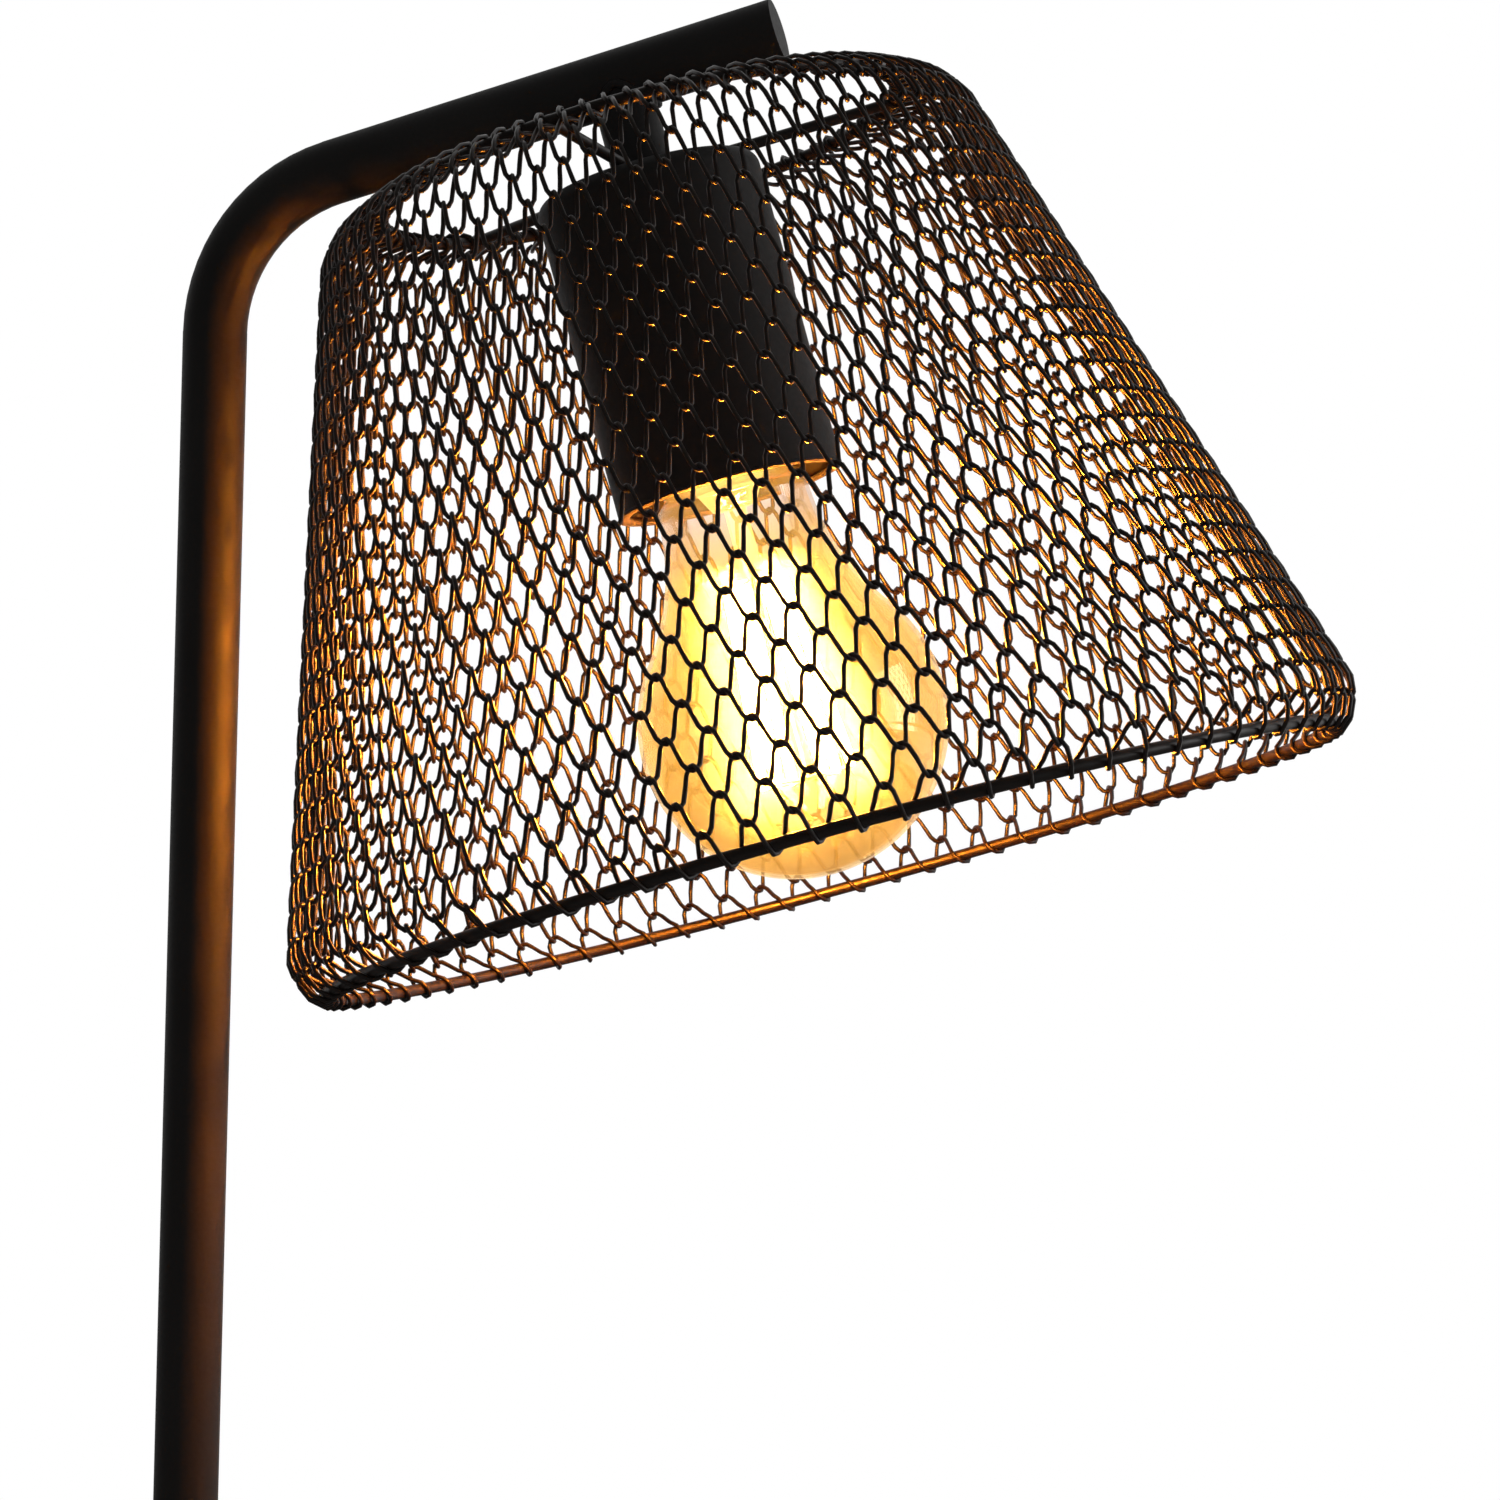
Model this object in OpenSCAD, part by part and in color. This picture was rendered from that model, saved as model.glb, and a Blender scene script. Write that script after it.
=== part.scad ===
// Table lamp with a bent tube stem and a wire mesh shade round one screw-in bulb.
// Millimetres. The origin is under the middle of the base, +Z is up and the arm points along +X.
// The shade, cup, holder and bulb share one axis, square to the arm. They are drawn in the head
// frame: its origin is on the arm's axis above the neck, its x axis runs out along the arm, and
// everything hangs below it, so a piece's depth is its distance below the arm's axis.

/* [Base] */
// Outer diameter of the base
base_d = 170; // [150:1:220]
// Height of the base, pad included
base_h = 16; // [15:0.5:22]
// Radius of the base's top edge
base_edge = 4; // [2:0.5:5]
// Sheet thickness of the base cover
cover_wall = 1.2; // [0.8:0.1:2]
// Height of the cover's rim above the table
rim_lift = 1; // [0.5:0.1:1.4]
// Thickness of the soft pad under the base
pad_t = 1.5; // [1:0.1:3]
// Distance from the edge of the base to the pad
pad_inset = 6; // [3:0.5:15]
// Thickness of the bottom plate
plate_t = 1.5; // [1:0.1:2.5]
// Number of screws that hold the bottom plate
plate_screws = 3; // [3:1:6]
// Shank diameter of a plate screw
plate_screw_d = 4; // [3:0.5:5]
// Radius of the circle that the plate screws stand on
plate_screw_r = 60; // [45:1:66]
// Width of the wire channel in the weight
channel_w = 9; // [8.5:0.5:14]
// Depth of the wire channel
channel_h = 6.5; // [6:0.1:8]
// Depth of the recess for the foot nut
recess_h = 9; // [8.5:0.1:10]

/* [Cord inlet] */
// Bore of the inlet bush
inlet_bore = 5.6; // [5:0.1:6.4]
// Body diameter of the inlet bush
inlet_d = 7.4; // [7.2:0.1:7.8]
// Flange diameter of the inlet bush
inlet_flange_d = 9.4; // [9:0.1:10]
// Flange thickness of the inlet bush
inlet_flange_t = 1.4; // [1:0.1:2.5]
// Length of the bush behind its flange
inlet_len = 7; // [5:0.5:10]

/* [Stem] */
// Outer diameter of the stem tube
tube_d = 12.7; // [12.2:0.1:14]
// Wall thickness of the stem tube
tube_wall = 1.2; // [1:0.1:1.4]
// Height at which the stem begins to bend
bend_z = 405; // [330:5:480]
// Radius of the bend, to the middle of the tube
bend_r = 33; // [24:1:48]
// How much the wall thins in the bend, on its outer and its inner face
bend_thinning = 0.03; // [0.02:0.01:0.1]
// Angle of the arm above level
arm_rise = 16.7; // [8:0.1:26]
// Straight length of the arm past the bend
arm_len = 93; // [80:1:130]
// Distance from the neck to the free end of the arm
neck_inset = 33; // [22:1:44]
// Thickness of the end plug's face
plug_face = 1.7; // [1:0.1:4]
// Length of the end plug's spigot
plug_spigot = 8; // [5:0.5:14]

/* [Foot fixing] */
// Thread diameter of the foot nipple
foot_thread = 8; // [7:0.5:8.4]
// Bore of the foot nipple
foot_bore = 5.4; // [5:0.1:5.8]
// Length of the insert in the foot of the stem
foot_insert_len = 18; // [12:1:30]
// Width across the flats of the foot nut
foot_nut_af = 13; // [12:0.5:14]
// Height of the foot nut
foot_nut_h = 3; // [2.5:0.1:3.2]
// Outer diameter of the foot washer
foot_washer_d = 20; // [17:0.5:22]
// Thickness of the foot washer
foot_washer_t = 1.5; // [1:0.1:1.6]

/* [Neck] */
// Outer diameter of the neck
neck_d = 12; // [11.8:0.1:14]
// Depth at which the neck ends
neck_end = 18.5; // [16:0.1:22]
// Thread diameter of the nipple in the neck
nipple_d = 10; // [9.5:0.1:10.2]
// Bore of the nipple in the neck
nipple_bore = 7.4; // [6.6:0.1:7.8]
// Length of the nipple that stands in the neck
nipple_grip = 8; // [6:0.5:9]
// Diameter of the wire hole in the arm
wire_hole_d = 7.4; // [6.6:0.1:8]

/* [Shade] */
// Diameter of the top ring, to the middle of its wire
top_ring_d = 105; // [96:1:116]
// Diameter of the bottom ring, to the middle of its wire
bottom_ring_d = 200; // [185:1:215]
// Depth of the top ring
top_ring_depth = 15.5; // [14.6:0.1:17]
// Height of the shade from ring to ring
shade_h = 142.5; // [125:0.5:160]
// Diameter of the ring wire
ring_wire_d = 2.4; // [2:0.1:3]
// Radius of the mesh's shoulder below the top ring
shoulder_r = 13; // [10:0.5:16]
// Radius of the mesh's hem above the bottom ring
hem_r = 8; // [6:0.5:11]
// Angle past level that the hem turns in under
hem_turn = 60; // [40:1:75]
// Loops round each course
mesh_loops = 39; // [36:3:42]
// Diameter of the mesh wire, across its corners
mesh_wire_d = 1.5; // [1.1:0.05:1.7]
// Clearance where two courses hook together
hook_gap = 0.5; // [0.45:0.05:0.65]
// Thickness of the spider's hub
hub_t = 1.5; // [1:0.1:2]
// Diameter of the spider's hub
hub_d = 24; // [20:0.5:30]
// Wire diameter of a spider arm
spider_wire_d = 2.2; // [1.8:0.1:2.6]
// Angle from the arm to the first spider arm
spider_turn = 24.5; // [0:0.5:60]

/* [Cup and lampholder] */
// Outer diameter of the cup
cup_d = 44.5; // [43:0.5:50]
// Length of the cup
cup_len = 63.75; // [62:0.25:75]
// Sheet thickness of the cup
cup_wall = 1; // [0.7:0.1:1.2]
// Radius of the cup's top edge
cup_edge = 3; // [1.5:0.1:4]
// Width across the flats of the cup nut
cup_nut_af = 14; // [13:0.5:17]
// Height of the cup nut
cup_nut_h = 3; // [2:0.1:4]
// Outer diameter of the lampholder
holder_d = 38; // [36.5:0.5:39.5]
// Wall thickness of the lampholder
holder_wall = 2; // [1.6:0.1:2.2]
// Length of the lampholder's upper half
holder_cap_len = 22; // [19:0.5:24]
// Distance from the cup's mouth in to the lampholder's rim
holder_inset = 4.25; // [2:0.25:8]
// Thickness of the contact base
contact_base_t = 7.5; // [6:0.5:9]
// Inner diameter of the brass screw shell
screw_shell_bore = 26.9; // [26.8:0.05:27.4]
// Length of the brass screw shell
screw_shell_len = 22; // [18:0.5:23]
// Sheet thickness of the brass parts
brass_t = 0.5; // [0.4:0.05:0.6]

/* [Bulb] */
// Diameter of the bulb's glass
bulb_d = 60; // [55:0.5:64]
// Length of the bulb from its contact to its tip
bulb_len = 105; // [101:0.5:112]
// Diameter of the glass neck
bulb_neck_d = 30; // [28:0.5:31]
// Run of the glass from the cap's end to where the neck begins to widen
bulb_neck_run = 3.4; // [2:0.2:6]
// Thickness of the glass
glass_t = 0.8; // [0.6:0.1:1.2]
// Diameter of the bulb's screw cap
cap_d = 26.2; // [25.8:0.1:26.3]
// Length of the bulb's screw cap
cap_len = 22; // [20:0.5:23]
// Number of light sticks in the bulb
stick_count = 6; // [4:1:8]
// Length of a light stick
stick_len = 40; // [30:1:42]
// Diameter of a light stick
stick_d = 1.6; // [1:0.1:2.4]

/* [Fits] */
// Clearance all round a screwed or pressed piece
fit = 0.05; // [0.02:0.01:0.1]
// Clearance all round a piece that drops in loosely
slip = 0.3; // [0.2:0.05:0.5]
// Clearance between the bulb's contact and the spring tongue
contact_gap = 0.3; // [0.2:0.05:0.5]

/* [Hidden] */

$fn = 96;
// A cut reaches this far past the face that it opens
past = 1;

// Colours
BLACK_STEEL = "#1d1c1b";
DARK_IRON = "#3a3936";
ZINC = "#a9abad";
BRASS = "#c49a4a";
BLACK_PLASTIC = "#222120";
WHITE_CERAMIC = "#e6e2d8";
AMBER_GLASS = "#f2c48a";
WARM_LIGHT = "#ffe0a0";

// Base levels and radii
base_r = base_d / 2;
plate_z = pad_t;
weight_z = plate_z + plate_t;
weight_top = base_h - cover_wall;
weight_h = weight_top - weight_z;
plate_r = base_r - cover_wall - slip;
weight_chamfer = base_edge;
recess_r = foot_washer_d / 2 + 3 * past;
recess_top = weight_z + recess_h;
inlet_z = weight_z + inlet_d / 2 + 2 * slip;
inlet_inner_x = -(base_r + inlet_flange_t - inlet_len - inlet_flange_t);
terminal_size = [18, 14, 5.5];
terminal_x = -38;
terminal_lead_z = weight_z + terminal_size[2] / 2;

// Stem
tube_bore = tube_d - 2 * tube_wall;
bend_angle = 90 - arm_rise;
bend_lap = 0.5;
arm_end = neck_inset;
bend_end = neck_inset - arm_len;

// Foot fixing
foot_insert_top = base_h + foot_insert_len;
foot_washer_z = recess_top - foot_washer_t;
foot_nut_z = foot_washer_z - foot_nut_h;
foot_nipple_z = foot_nut_z - slip;
foot_nipple_top = foot_insert_top - 2;

// Neck, by depth below the arm's axis
nipple_top = neck_end - nipple_grip;
hub_end = neck_end + hub_t;
cup_top = hub_end;
cup_floor = cup_top + cup_wall;
cup_mouth = cup_top + cup_len;
cup_nut_end = cup_floor + cup_nut_h;
holder_top = cup_nut_end;
holder_joint = holder_top + holder_cap_len;
holder_roof = 3.5;
nipple_end = holder_top + holder_roof;
holder_rim = cup_mouth - holder_inset;
contact_base_end = holder_joint + contact_base_t;
screw_shell_end = contact_base_end + screw_shell_len;
holder_r = holder_d / 2;
holder_bore_r = holder_r - holder_wall;
screw_shell_r = screw_shell_bore / 2;
screw_shell_out = screw_shell_r + brass_t;
tongue_rise = 0.7;
tongue_end = contact_base_end + brass_t + tongue_rise;
terminal_y = 9;

// Bulb, by depth below the arm's axis
bulb_top = tongue_end + contact_gap;
bulb_tip = bulb_top + bulb_len;
globe_r = bulb_d / 2;
globe_depth = bulb_tip - globe_r;
bulb_neck_r = bulb_neck_d / 2;
cap_r = cap_d / 2;
button_r = 5;
button_h = 1.2;
insulator_h = 3.4;
insulator_r = 11.4;
cap_t = 0.35;
cap_top = bulb_top + button_h + insulator_h;
cap_end = cap_top + cap_len;
// The neck widens in a hollow curve that meets the globe without a corner
blend_depth = cap_end + bulb_neck_run;
blend_drop = globe_depth - blend_depth;
bulb_blend = (pow(blend_drop, 2) + pow(bulb_neck_r, 2) - pow(globe_r, 2)) / (2 * (globe_r - bulb_neck_r));
blend_turn = atan2(blend_drop, bulb_neck_r + bulb_blend);
glass_start = cap_end - 9;
glass_seat_r = cap_r - cap_t - fit;
stick_low_r = 9;
stick_high_r = 5.5;
// The sticks stand a little above the middle of the globe
stick_rise = 9;
stick_top = globe_depth - stick_rise - stick_len / 2;
stem_tip = stick_top + 8;
stem_rod_r = 2.2;

// Shade, by depth below the arm's axis
top_r = top_ring_d / 2;
bottom_r = bottom_ring_d / 2;
bottom_ring_depth = top_ring_depth + shade_h;
ring_r = ring_wire_d / 2;
shoulder_c = [top_r, top_ring_depth + shoulder_r];
hem_c = [bottom_r - hem_r * cos(hem_turn), bottom_ring_depth - hem_r * sin(hem_turn)];
arc_gap = norm(hem_c - shoulder_c);
arc_lean = atan2(hem_c[0] - shoulder_c[0], hem_c[1] - shoulder_c[1]);
shade_lean = arc_lean - asin((shoulder_r - hem_r) / arc_gap);
shoulder_len = shoulder_r * (90 - shade_lean) * PI / 180;
side_len = sqrt(pow(arc_gap, 2) - pow(shoulder_r - hem_r, 2));
hem_len = hem_r * (shade_lean + hem_turn) * PI / 180;
mesh_len = shoulder_len + side_len + hem_len;
// Courses of the mesh from ring to ring, one for each mesh_course node
mesh_courses = 13;
loop_turn = 360 / mesh_loops;
// Distance from the middle of the three-sided mesh wire to its flat side
wire_flat = mesh_wire_d / 4;
// Half the distance between the outer and the inner legs of a course
leg_out = (mesh_wire_d + hook_gap) / 2;
// Half the height that two hooked courses share
hook_reach = wire_flat + hook_gap / 2;
// Half the width of the bend at the tip of a loop
tip_half = (mesh_wire_d + hook_gap) / 2;
// Distance from the middle of a ring to the wire that wraps it
wrap_out = ring_r + wire_flat + hook_gap;
// Angle from the arm to the first tip of the first course, so that the spider arms pass between tips
first_tip = spider_turn + loop_turn / 2;

// Head frame
module head() {
    translate([bend_r, 0, bend_z]) rotate([0, -arm_rise, 0])
        translate([arm_len - neck_inset, 0, bend_r]) children();
}

// The bend of the stem filled to one radius, lapping the straight lengths a little at either end
module bend_core(r) {
    translate([bend_r, 0, bend_z]) rotate([90, 0, 0])
        rotate_extrude(angle = -bend_angle - 2 * bend_lap, start = 180 + bend_lap)
            translate([bend_r, 0]) circle(r = r);
}

// A cylinder from one depth to another, on the head's axis
module drop(from, to, r) {
    translate([0, 0, -to]) cylinder(h = to - from, r = r);
}

// A straight round rod between two points
module rod(a, b, d) {
    run = b - a;
    len = norm(run);
    translate(a) rotate([0, acos(run[2] / len), atan2(run[1], run[0])])
        cylinder(h = len, d = d, $fn = 32);
}

// Rods through a list of points, with a ball at each inner corner
module rod_path(points, d) {
    for (i = [0 : len(points) - 2]) rod(points[i], points[i + 1], d);
    for (i = [1 : 1 : len(points) - 2]) translate(points[i]) sphere(d = d, $fn = 32);
}

// A plain ring of round wire on the head's axis
module wire_ring(r, depth, d) {
    translate([0, 0, -depth]) rotate_extrude() translate([r, 0]) circle(d = d, $fn = 32);
}

// A hexagonal nut with its bore, standing on z = 0
module hex_nut(af, h, bore) {
    difference() {
        cylinder(h = h, d = af / cos(30), $fn = 6);
        translate([0, 0, -past]) cylinder(h = h + 2 * past, d = bore);
    }
}

// Outline of a flat-topped disc with a rounded top edge, for turning round z
module disc_outline(r, low, high, edge) {
    translate([0, low]) square([r, high - low - edge]);
    translate([0, low]) square([r - edge, high - low]);
    translate([r - edge, high - edge]) circle(r = edge);
}

module base_cover() {
    color(BLACK_STEEL) difference() {
        rotate_extrude() difference() {
            disc_outline(base_r, rim_lift, base_h, base_edge);
            translate([0, -past]) disc_outline(base_r - cover_wall, 0,
                base_h - cover_wall + past, base_edge - cover_wall);
        }
        cylinder(h = base_h + past, d = foot_thread + 2 * fit);
        translate([-base_r - past, 0, inlet_z]) rotate([0, 90, 0])
            cylinder(h = base_edge + 2 * past, d = inlet_d + 2 * fit);
    }
}

module base_weight() {
    r = plate_r - slip;
    color(DARK_IRON) difference() {
        rotate_extrude() polygon([[0, weight_z], [r, weight_z], [r, weight_top - weight_chamfer],
            [r - weight_chamfer, weight_top], [0, weight_top]]);
        cylinder(h = base_h, d = foot_thread + 2 * fit);
        translate([0, 0, weight_z - past]) cylinder(h = recess_h + past, r = recess_r);
        translate([-base_r, -channel_w / 2, weight_z - past])
            cube([base_r, channel_w, channel_h + past]);
        translate([terminal_x - terminal_size[0] / 2 - 2 * past, -terminal_size[1] / 2 - past,
            weight_z - past])
            cube([terminal_size[0] + 4 * past, terminal_size[1] + 2 * past, channel_h + past]);
        translate([-base_r - past, 0, inlet_z]) rotate([0, 90, 0])
            cylinder(h = base_r + inlet_inner_x + 2 * past, d = inlet_flange_d + 2 * slip);
        at_plate_screws() translate([0, 0, weight_z - past])
            cylinder(h = screw_depth() + past + slip, d = plate_screw_d + 2 * fit);
    }
}

// Depth that a plate screw reaches into the weight
function screw_depth() = weight_h * 0.6;

module at_plate_screws() {
    for (i = [0 : plate_screws - 1]) rotate(360 * i / plate_screws) translate([plate_screw_r, 0, 0])
        children();
}

module base_plate() {
    color(ZINC) difference() {
        translate([0, 0, plate_z]) cylinder(h = plate_t, r = plate_r);
        at_plate_screws() screw_hole(fit, past);
    }
}

// Countersunk hole or screw through the bottom plate, grown all round by the clearance
module screw_hole(grow, foot) {
    head_r = plate_screw_d * 0.9 + grow;
    shank_r = plate_screw_d / 2 + grow;
    sink = plate_t * 0.8;
    rotate_extrude() polygon([[0, plate_z - foot], [head_r, plate_z - foot], [head_r, plate_z],
        [shank_r, plate_z + sink], [shank_r, plate_z + plate_t + past], [0, plate_z + plate_t + past]]);
}

module base_screws() {
    color(ZINC) at_plate_screws() {
        screw_hole(0, 0);
        translate([0, 0, plate_z]) cylinder(h = plate_t + screw_depth(), d = plate_screw_d);
    }
}

module base_pad() {
    color(BLACK_PLASTIC) cylinder(h = pad_t, r = base_r - pad_inset);
}

module cord_inlet_bush() {
    flange_x = -base_r - inlet_flange_t;
    color(BLACK_PLASTIC) translate([0, 0, inlet_z]) rotate([0, 90, 0]) difference() {
        union() {
            translate([0, 0, flange_x]) cylinder(h = inlet_flange_t, d = inlet_flange_d);
            translate([0, 0, flange_x]) cylinder(h = inlet_flange_t + inlet_len, d = inlet_d);
            translate([0, 0, -base_r + cover_wall + slip])
                cylinder(h = inlet_len - cover_wall - slip, d = inlet_d + 2 * slip);
        }
        translate([0, 0, flange_x - past])
            cylinder(h = inlet_len + inlet_flange_t + 2 * past, d = inlet_bore);
    }
}

// Two-pole terminal block where the leads of the head begin
module terminal_block() {
    color(BLACK_PLASTIC) translate([terminal_x, 0, weight_z]) difference() {
        translate([-terminal_size[0] / 2, -terminal_size[1] / 2, 0]) cube(terminal_size);
        for (side = [-1, 1]) translate([0, side * terminal_size[1] / 4, terminal_size[2] / 2]) {
            rotate([0, 90, 0]) cylinder(h = terminal_size[0] + past, d = 2.6, center = true);
            for (end = [-1, 1]) translate([end * terminal_size[0] / 4, 0, 0])
                cylinder(h = terminal_size[2], d = 2.4);
        }
    }
}

lead_d = 2;
lead_y = lead_d / 2 + 0.15;
lead_low_z = weight_z + lead_d / 2 + slip;
foot_turn = 3;
lead_turn = 5;
lead_sides = 6;

// Points of a quarter or part turn in the plane of the stem, from one angle to the next
function turn_points(centre, r, from, to, y, steps) =
    [for (i = [0 : steps]) let (a = from + (to - from) * i / steps)
        [centre[0] + r * cos(a), y, centre[1] + r * sin(a)]];

// A point of the head frame in the lamp's frame
function head_point(p) =
    let (x = p[0] + arm_len - neck_inset, z = p[2] + bend_r)
    [bend_r + x * cos(arm_rise) - z * sin(arm_rise), p[1],
     bend_z + x * sin(arm_rise) + z * cos(arm_rise)];

// Route of one insulated lead, from the terminal block through the stem to the lampholder
function lead_route(side) =
    let (y = side * lead_y, out = side * terminal_y)
    concat([[terminal_x + terminal_size[0] / 2 + past, side * terminal_size[1] / 4, terminal_lead_z],
        [-recess_r, y, lead_low_z]],
    turn_points([-foot_turn, lead_low_z + foot_turn], foot_turn, -90, 0, y, 3),
    turn_points([bend_r, bend_z], bend_r, 180, 180 - bend_angle, y, 6),
    [for (p = turn_points([-lead_turn, -lead_turn], lead_turn, 90, 0, y, 3)) head_point(p)],
    [for (p = [[0, y, -nipple_end - past], [0, out, 4 - holder_joint], [0, out, -holder_joint]])
        head_point(p)]);

module lead(side) {
    route = lead_route(side);
    n = len(route);
    rings = [for (i = [0 : n - 1])
        let (into = unit(route[max(i, 1)] - route[max(i, 1) - 1]),
            out = unit(route[min(i, n - 2) + 1] - route[min(i, n - 2)]),
            along = unit(into + out), across = unit(cross(along, [along[2], 0, -along[0]])),
            up = cross(along, across))
        for (j = [0 : lead_sides - 1])
            let (a = 360 * j / lead_sides)
            route[i] + lead_d / 2 * (cos(a) * across + sin(a) * up)];
    faces = [for (i = [0 : n - 2], j = [0 : lead_sides - 1])
        let (a = lead_sides * i + j, b = lead_sides * i + (j + 1) % lead_sides,
            c = a + lead_sides, d = b + lead_sides)
        each [[a, c, d], [a, d, b]]];
    caps = [for (j = [1 : lead_sides - 2])
        each [[0, j, j + 1], lead_sides * (n - 1) * [1, 1, 1] + [0, j + 1, j]]];
    polyhedron(points = rings, faces = concat(faces, caps));
}

module inner_leads() {
    color(BLACK_PLASTIC) for (side = [-1, 1]) lead(side);
}

module foot_insert() {
    color(BRASS) difference() {
        translate([0, 0, base_h]) cylinder(h = foot_insert_len, d = tube_bore - 2 * fit);
        translate([0, 0, base_h - past])
            cylinder(h = foot_insert_len + 2 * past, d = foot_thread + 2 * fit);
    }
}

module foot_nipple() {
    color(ZINC) difference() {
        translate([0, 0, foot_nipple_z]) cylinder(h = foot_nipple_top - foot_nipple_z, d = foot_thread);
        translate([0, 0, foot_nipple_z - past])
            cylinder(h = foot_nipple_top - foot_nipple_z + 2 * past, d = foot_bore);
    }
}

module foot_washer() {
    color(ZINC) translate([0, 0, foot_washer_z]) difference() {
        cylinder(h = foot_washer_t, d = foot_washer_d);
        translate([0, 0, -past]) cylinder(h = foot_washer_t + 2 * past, d = foot_thread + 2 * fit);
    }
}

module foot_nut() {
    color(ZINC) translate([0, 0, foot_nut_z]) hex_nut(foot_nut_af, foot_nut_h, foot_thread + 2 * fit);
}

// The stem's path filled to one radius, and to another in the bend, from the foot to the free end
module stem_core(r, bent_r, foot, extra) {
    translate([0, 0, foot]) cylinder(h = bend_z - foot, r = r);
    bend_core(bent_r);
    head() translate([bend_end, 0, 0]) rotate([0, 90, 0])
        cylinder(h = arm_len - plug_face + extra, r = r);
}

module stem_tube() {
    color(BLACK_STEEL) difference() {
        stem_core(tube_d / 2, tube_d / 2 - bend_thinning, base_h, 0);
        stem_core(tube_bore / 2, tube_bore / 2 + bend_thinning, base_h - past, past);
        head() drop(0, tube_d, wire_hole_d / 2);
    }
}

module arm_end_plug() {
    color(BLACK_STEEL) head() translate([arm_end, 0, 0]) rotate([0, -90, 0]) {
        cylinder(h = plug_face, d = tube_d);
        cylinder(h = plug_face + plug_spigot, d = tube_bore - 2 * fit);
    }
}

module head_neck() {
    color(BLACK_STEEL) head() difference() {
        drop(0, neck_end, neck_d / 2);
        translate([-neck_d, 0, 0]) rotate([0, 90, 0]) cylinder(h = 2 * neck_d, d = tube_d + 2 * fit);
        drop(0, neck_end + past, wire_hole_d / 2);
        drop(nipple_top - slip, neck_end + past, nipple_d / 2 + fit);
    }
}

module neck_nipple() {
    color(ZINC) head() difference() {
        drop(nipple_top, nipple_end, nipple_d / 2);
        drop(nipple_top - past, nipple_end + past, nipple_bore / 2);
    }
}

module spider_hub() {
    color(BLACK_STEEL) head() difference() {
        drop(neck_end, hub_end, hub_d / 2);
        drop(neck_end - past, hub_end + past, nipple_d / 2 + fit);
    }
}

// Three arms from the rim of the hub out to the top ring
module spider_arms() {
    hub_mid = hub_end - slip - spider_wire_d / 2;
    color(BLACK_STEEL) head() for (i = [0 : 2]) rotate(spider_turn + 120 * i) difference() {
        rod([hub_d / 2 - past, 0, -hub_mid], [top_r, 0, -top_ring_depth], spider_wire_d);
        wire_ring(top_r, top_ring_depth, ring_wire_d + 2 * fit);
        drop(neck_end - 2 * past, hub_end + 2 * past, hub_d / 2 + fit);
        difference() {
            drop(0, cup_mouth, top_r + 3 * ring_wire_d);
            drop(-past, cup_mouth + past, top_r);
        }
    }
}

module top_ring() {
    color(BLACK_STEEL) head() wire_ring(top_r, top_ring_depth, ring_wire_d);
}

module bottom_ring() {
    color(BLACK_STEEL) head() wire_ring(bottom_r, bottom_ring_depth, ring_wire_d);
}

// Middle surface of the mesh. At the length s along it from the top ring it gives the radius, the
// depth and the angle of the outward normal below level: a shoulder arc, a straight side and a hem
// arc, with a short straight run past either end.
function shade_at(s) =
    s < 0 ? [shoulder_c[0] + s, shoulder_c[1] - shoulder_r, -90] :
    s < shoulder_len ? arc_at(shoulder_c, shoulder_r, -90 + s / shoulder_r * 180 / PI) :
    s < shoulder_len + side_len ? side_at(s - shoulder_len) :
    s < mesh_len ? arc_at(hem_c, hem_r,
        -shade_lean + (s - shoulder_len - side_len) / hem_r * 180 / PI) :
    past_hem(s - mesh_len);
function arc_at(c, r, angle) = [c[0] + r * cos(angle), c[1] + r * sin(angle), angle];
function side_at(run) =
    [shoulder_c[0] + shoulder_r * cos(shade_lean) + run * sin(shade_lean),
     shoulder_c[1] - shoulder_r * sin(shade_lean) + run * cos(shade_lean), -shade_lean];
function past_hem(run) =
    [bottom_r - run * sin(hem_turn), bottom_ring_depth + run * cos(hem_turn), hem_turn];

// Point of a mesh wire: at the angle round the head's axis, the length s along the mesh and the
// distance out from its middle surface, moved aside along the course by the last value
function mesh_point(angle, s, out, aside) =
    let (at = shade_at(s), r = at[0] + out * cos(at[2]), turn = angle + aside / r * 180 / PI)
    [r * cos(turn), r * sin(turn), -at[1] - out * sin(at[2])];

// Length along the mesh at which course k begins. The first course covers the shoulder, the last
// covers the hem, and the others share the straight side alike.
function course_start(k) =
    k == 0 ? 0 :
    k == mesh_courses ? mesh_len :
    shoulder_len + (k - 1) * side_len / (mesh_courses - 2);

// Stations down one leg of a course: the length along the mesh and the distance out. A middle
// course has two. The first and the last wrap a ring and follow an arc, so they have more.
function leg_stations(k) =
    let (top = course_start(k), end = course_start(k + 1))
    k == 0 ? [[-wrap_out, wrap_out], [wrap_out, wrap_out], [end * 0.48, (wrap_out + leg_out) / 2],
        [end * 0.82, leg_out], [end + hook_reach, leg_out]] :
    k == mesh_courses - 1 ? [[top - hook_reach, leg_out], [top + (end - top) * 0.36, leg_out],
        [mesh_len - wrap_out, wrap_out], [mesh_len + wrap_out, wrap_out]] :
    [[top - hook_reach, leg_out], [end + hook_reach, leg_out]];

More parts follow.
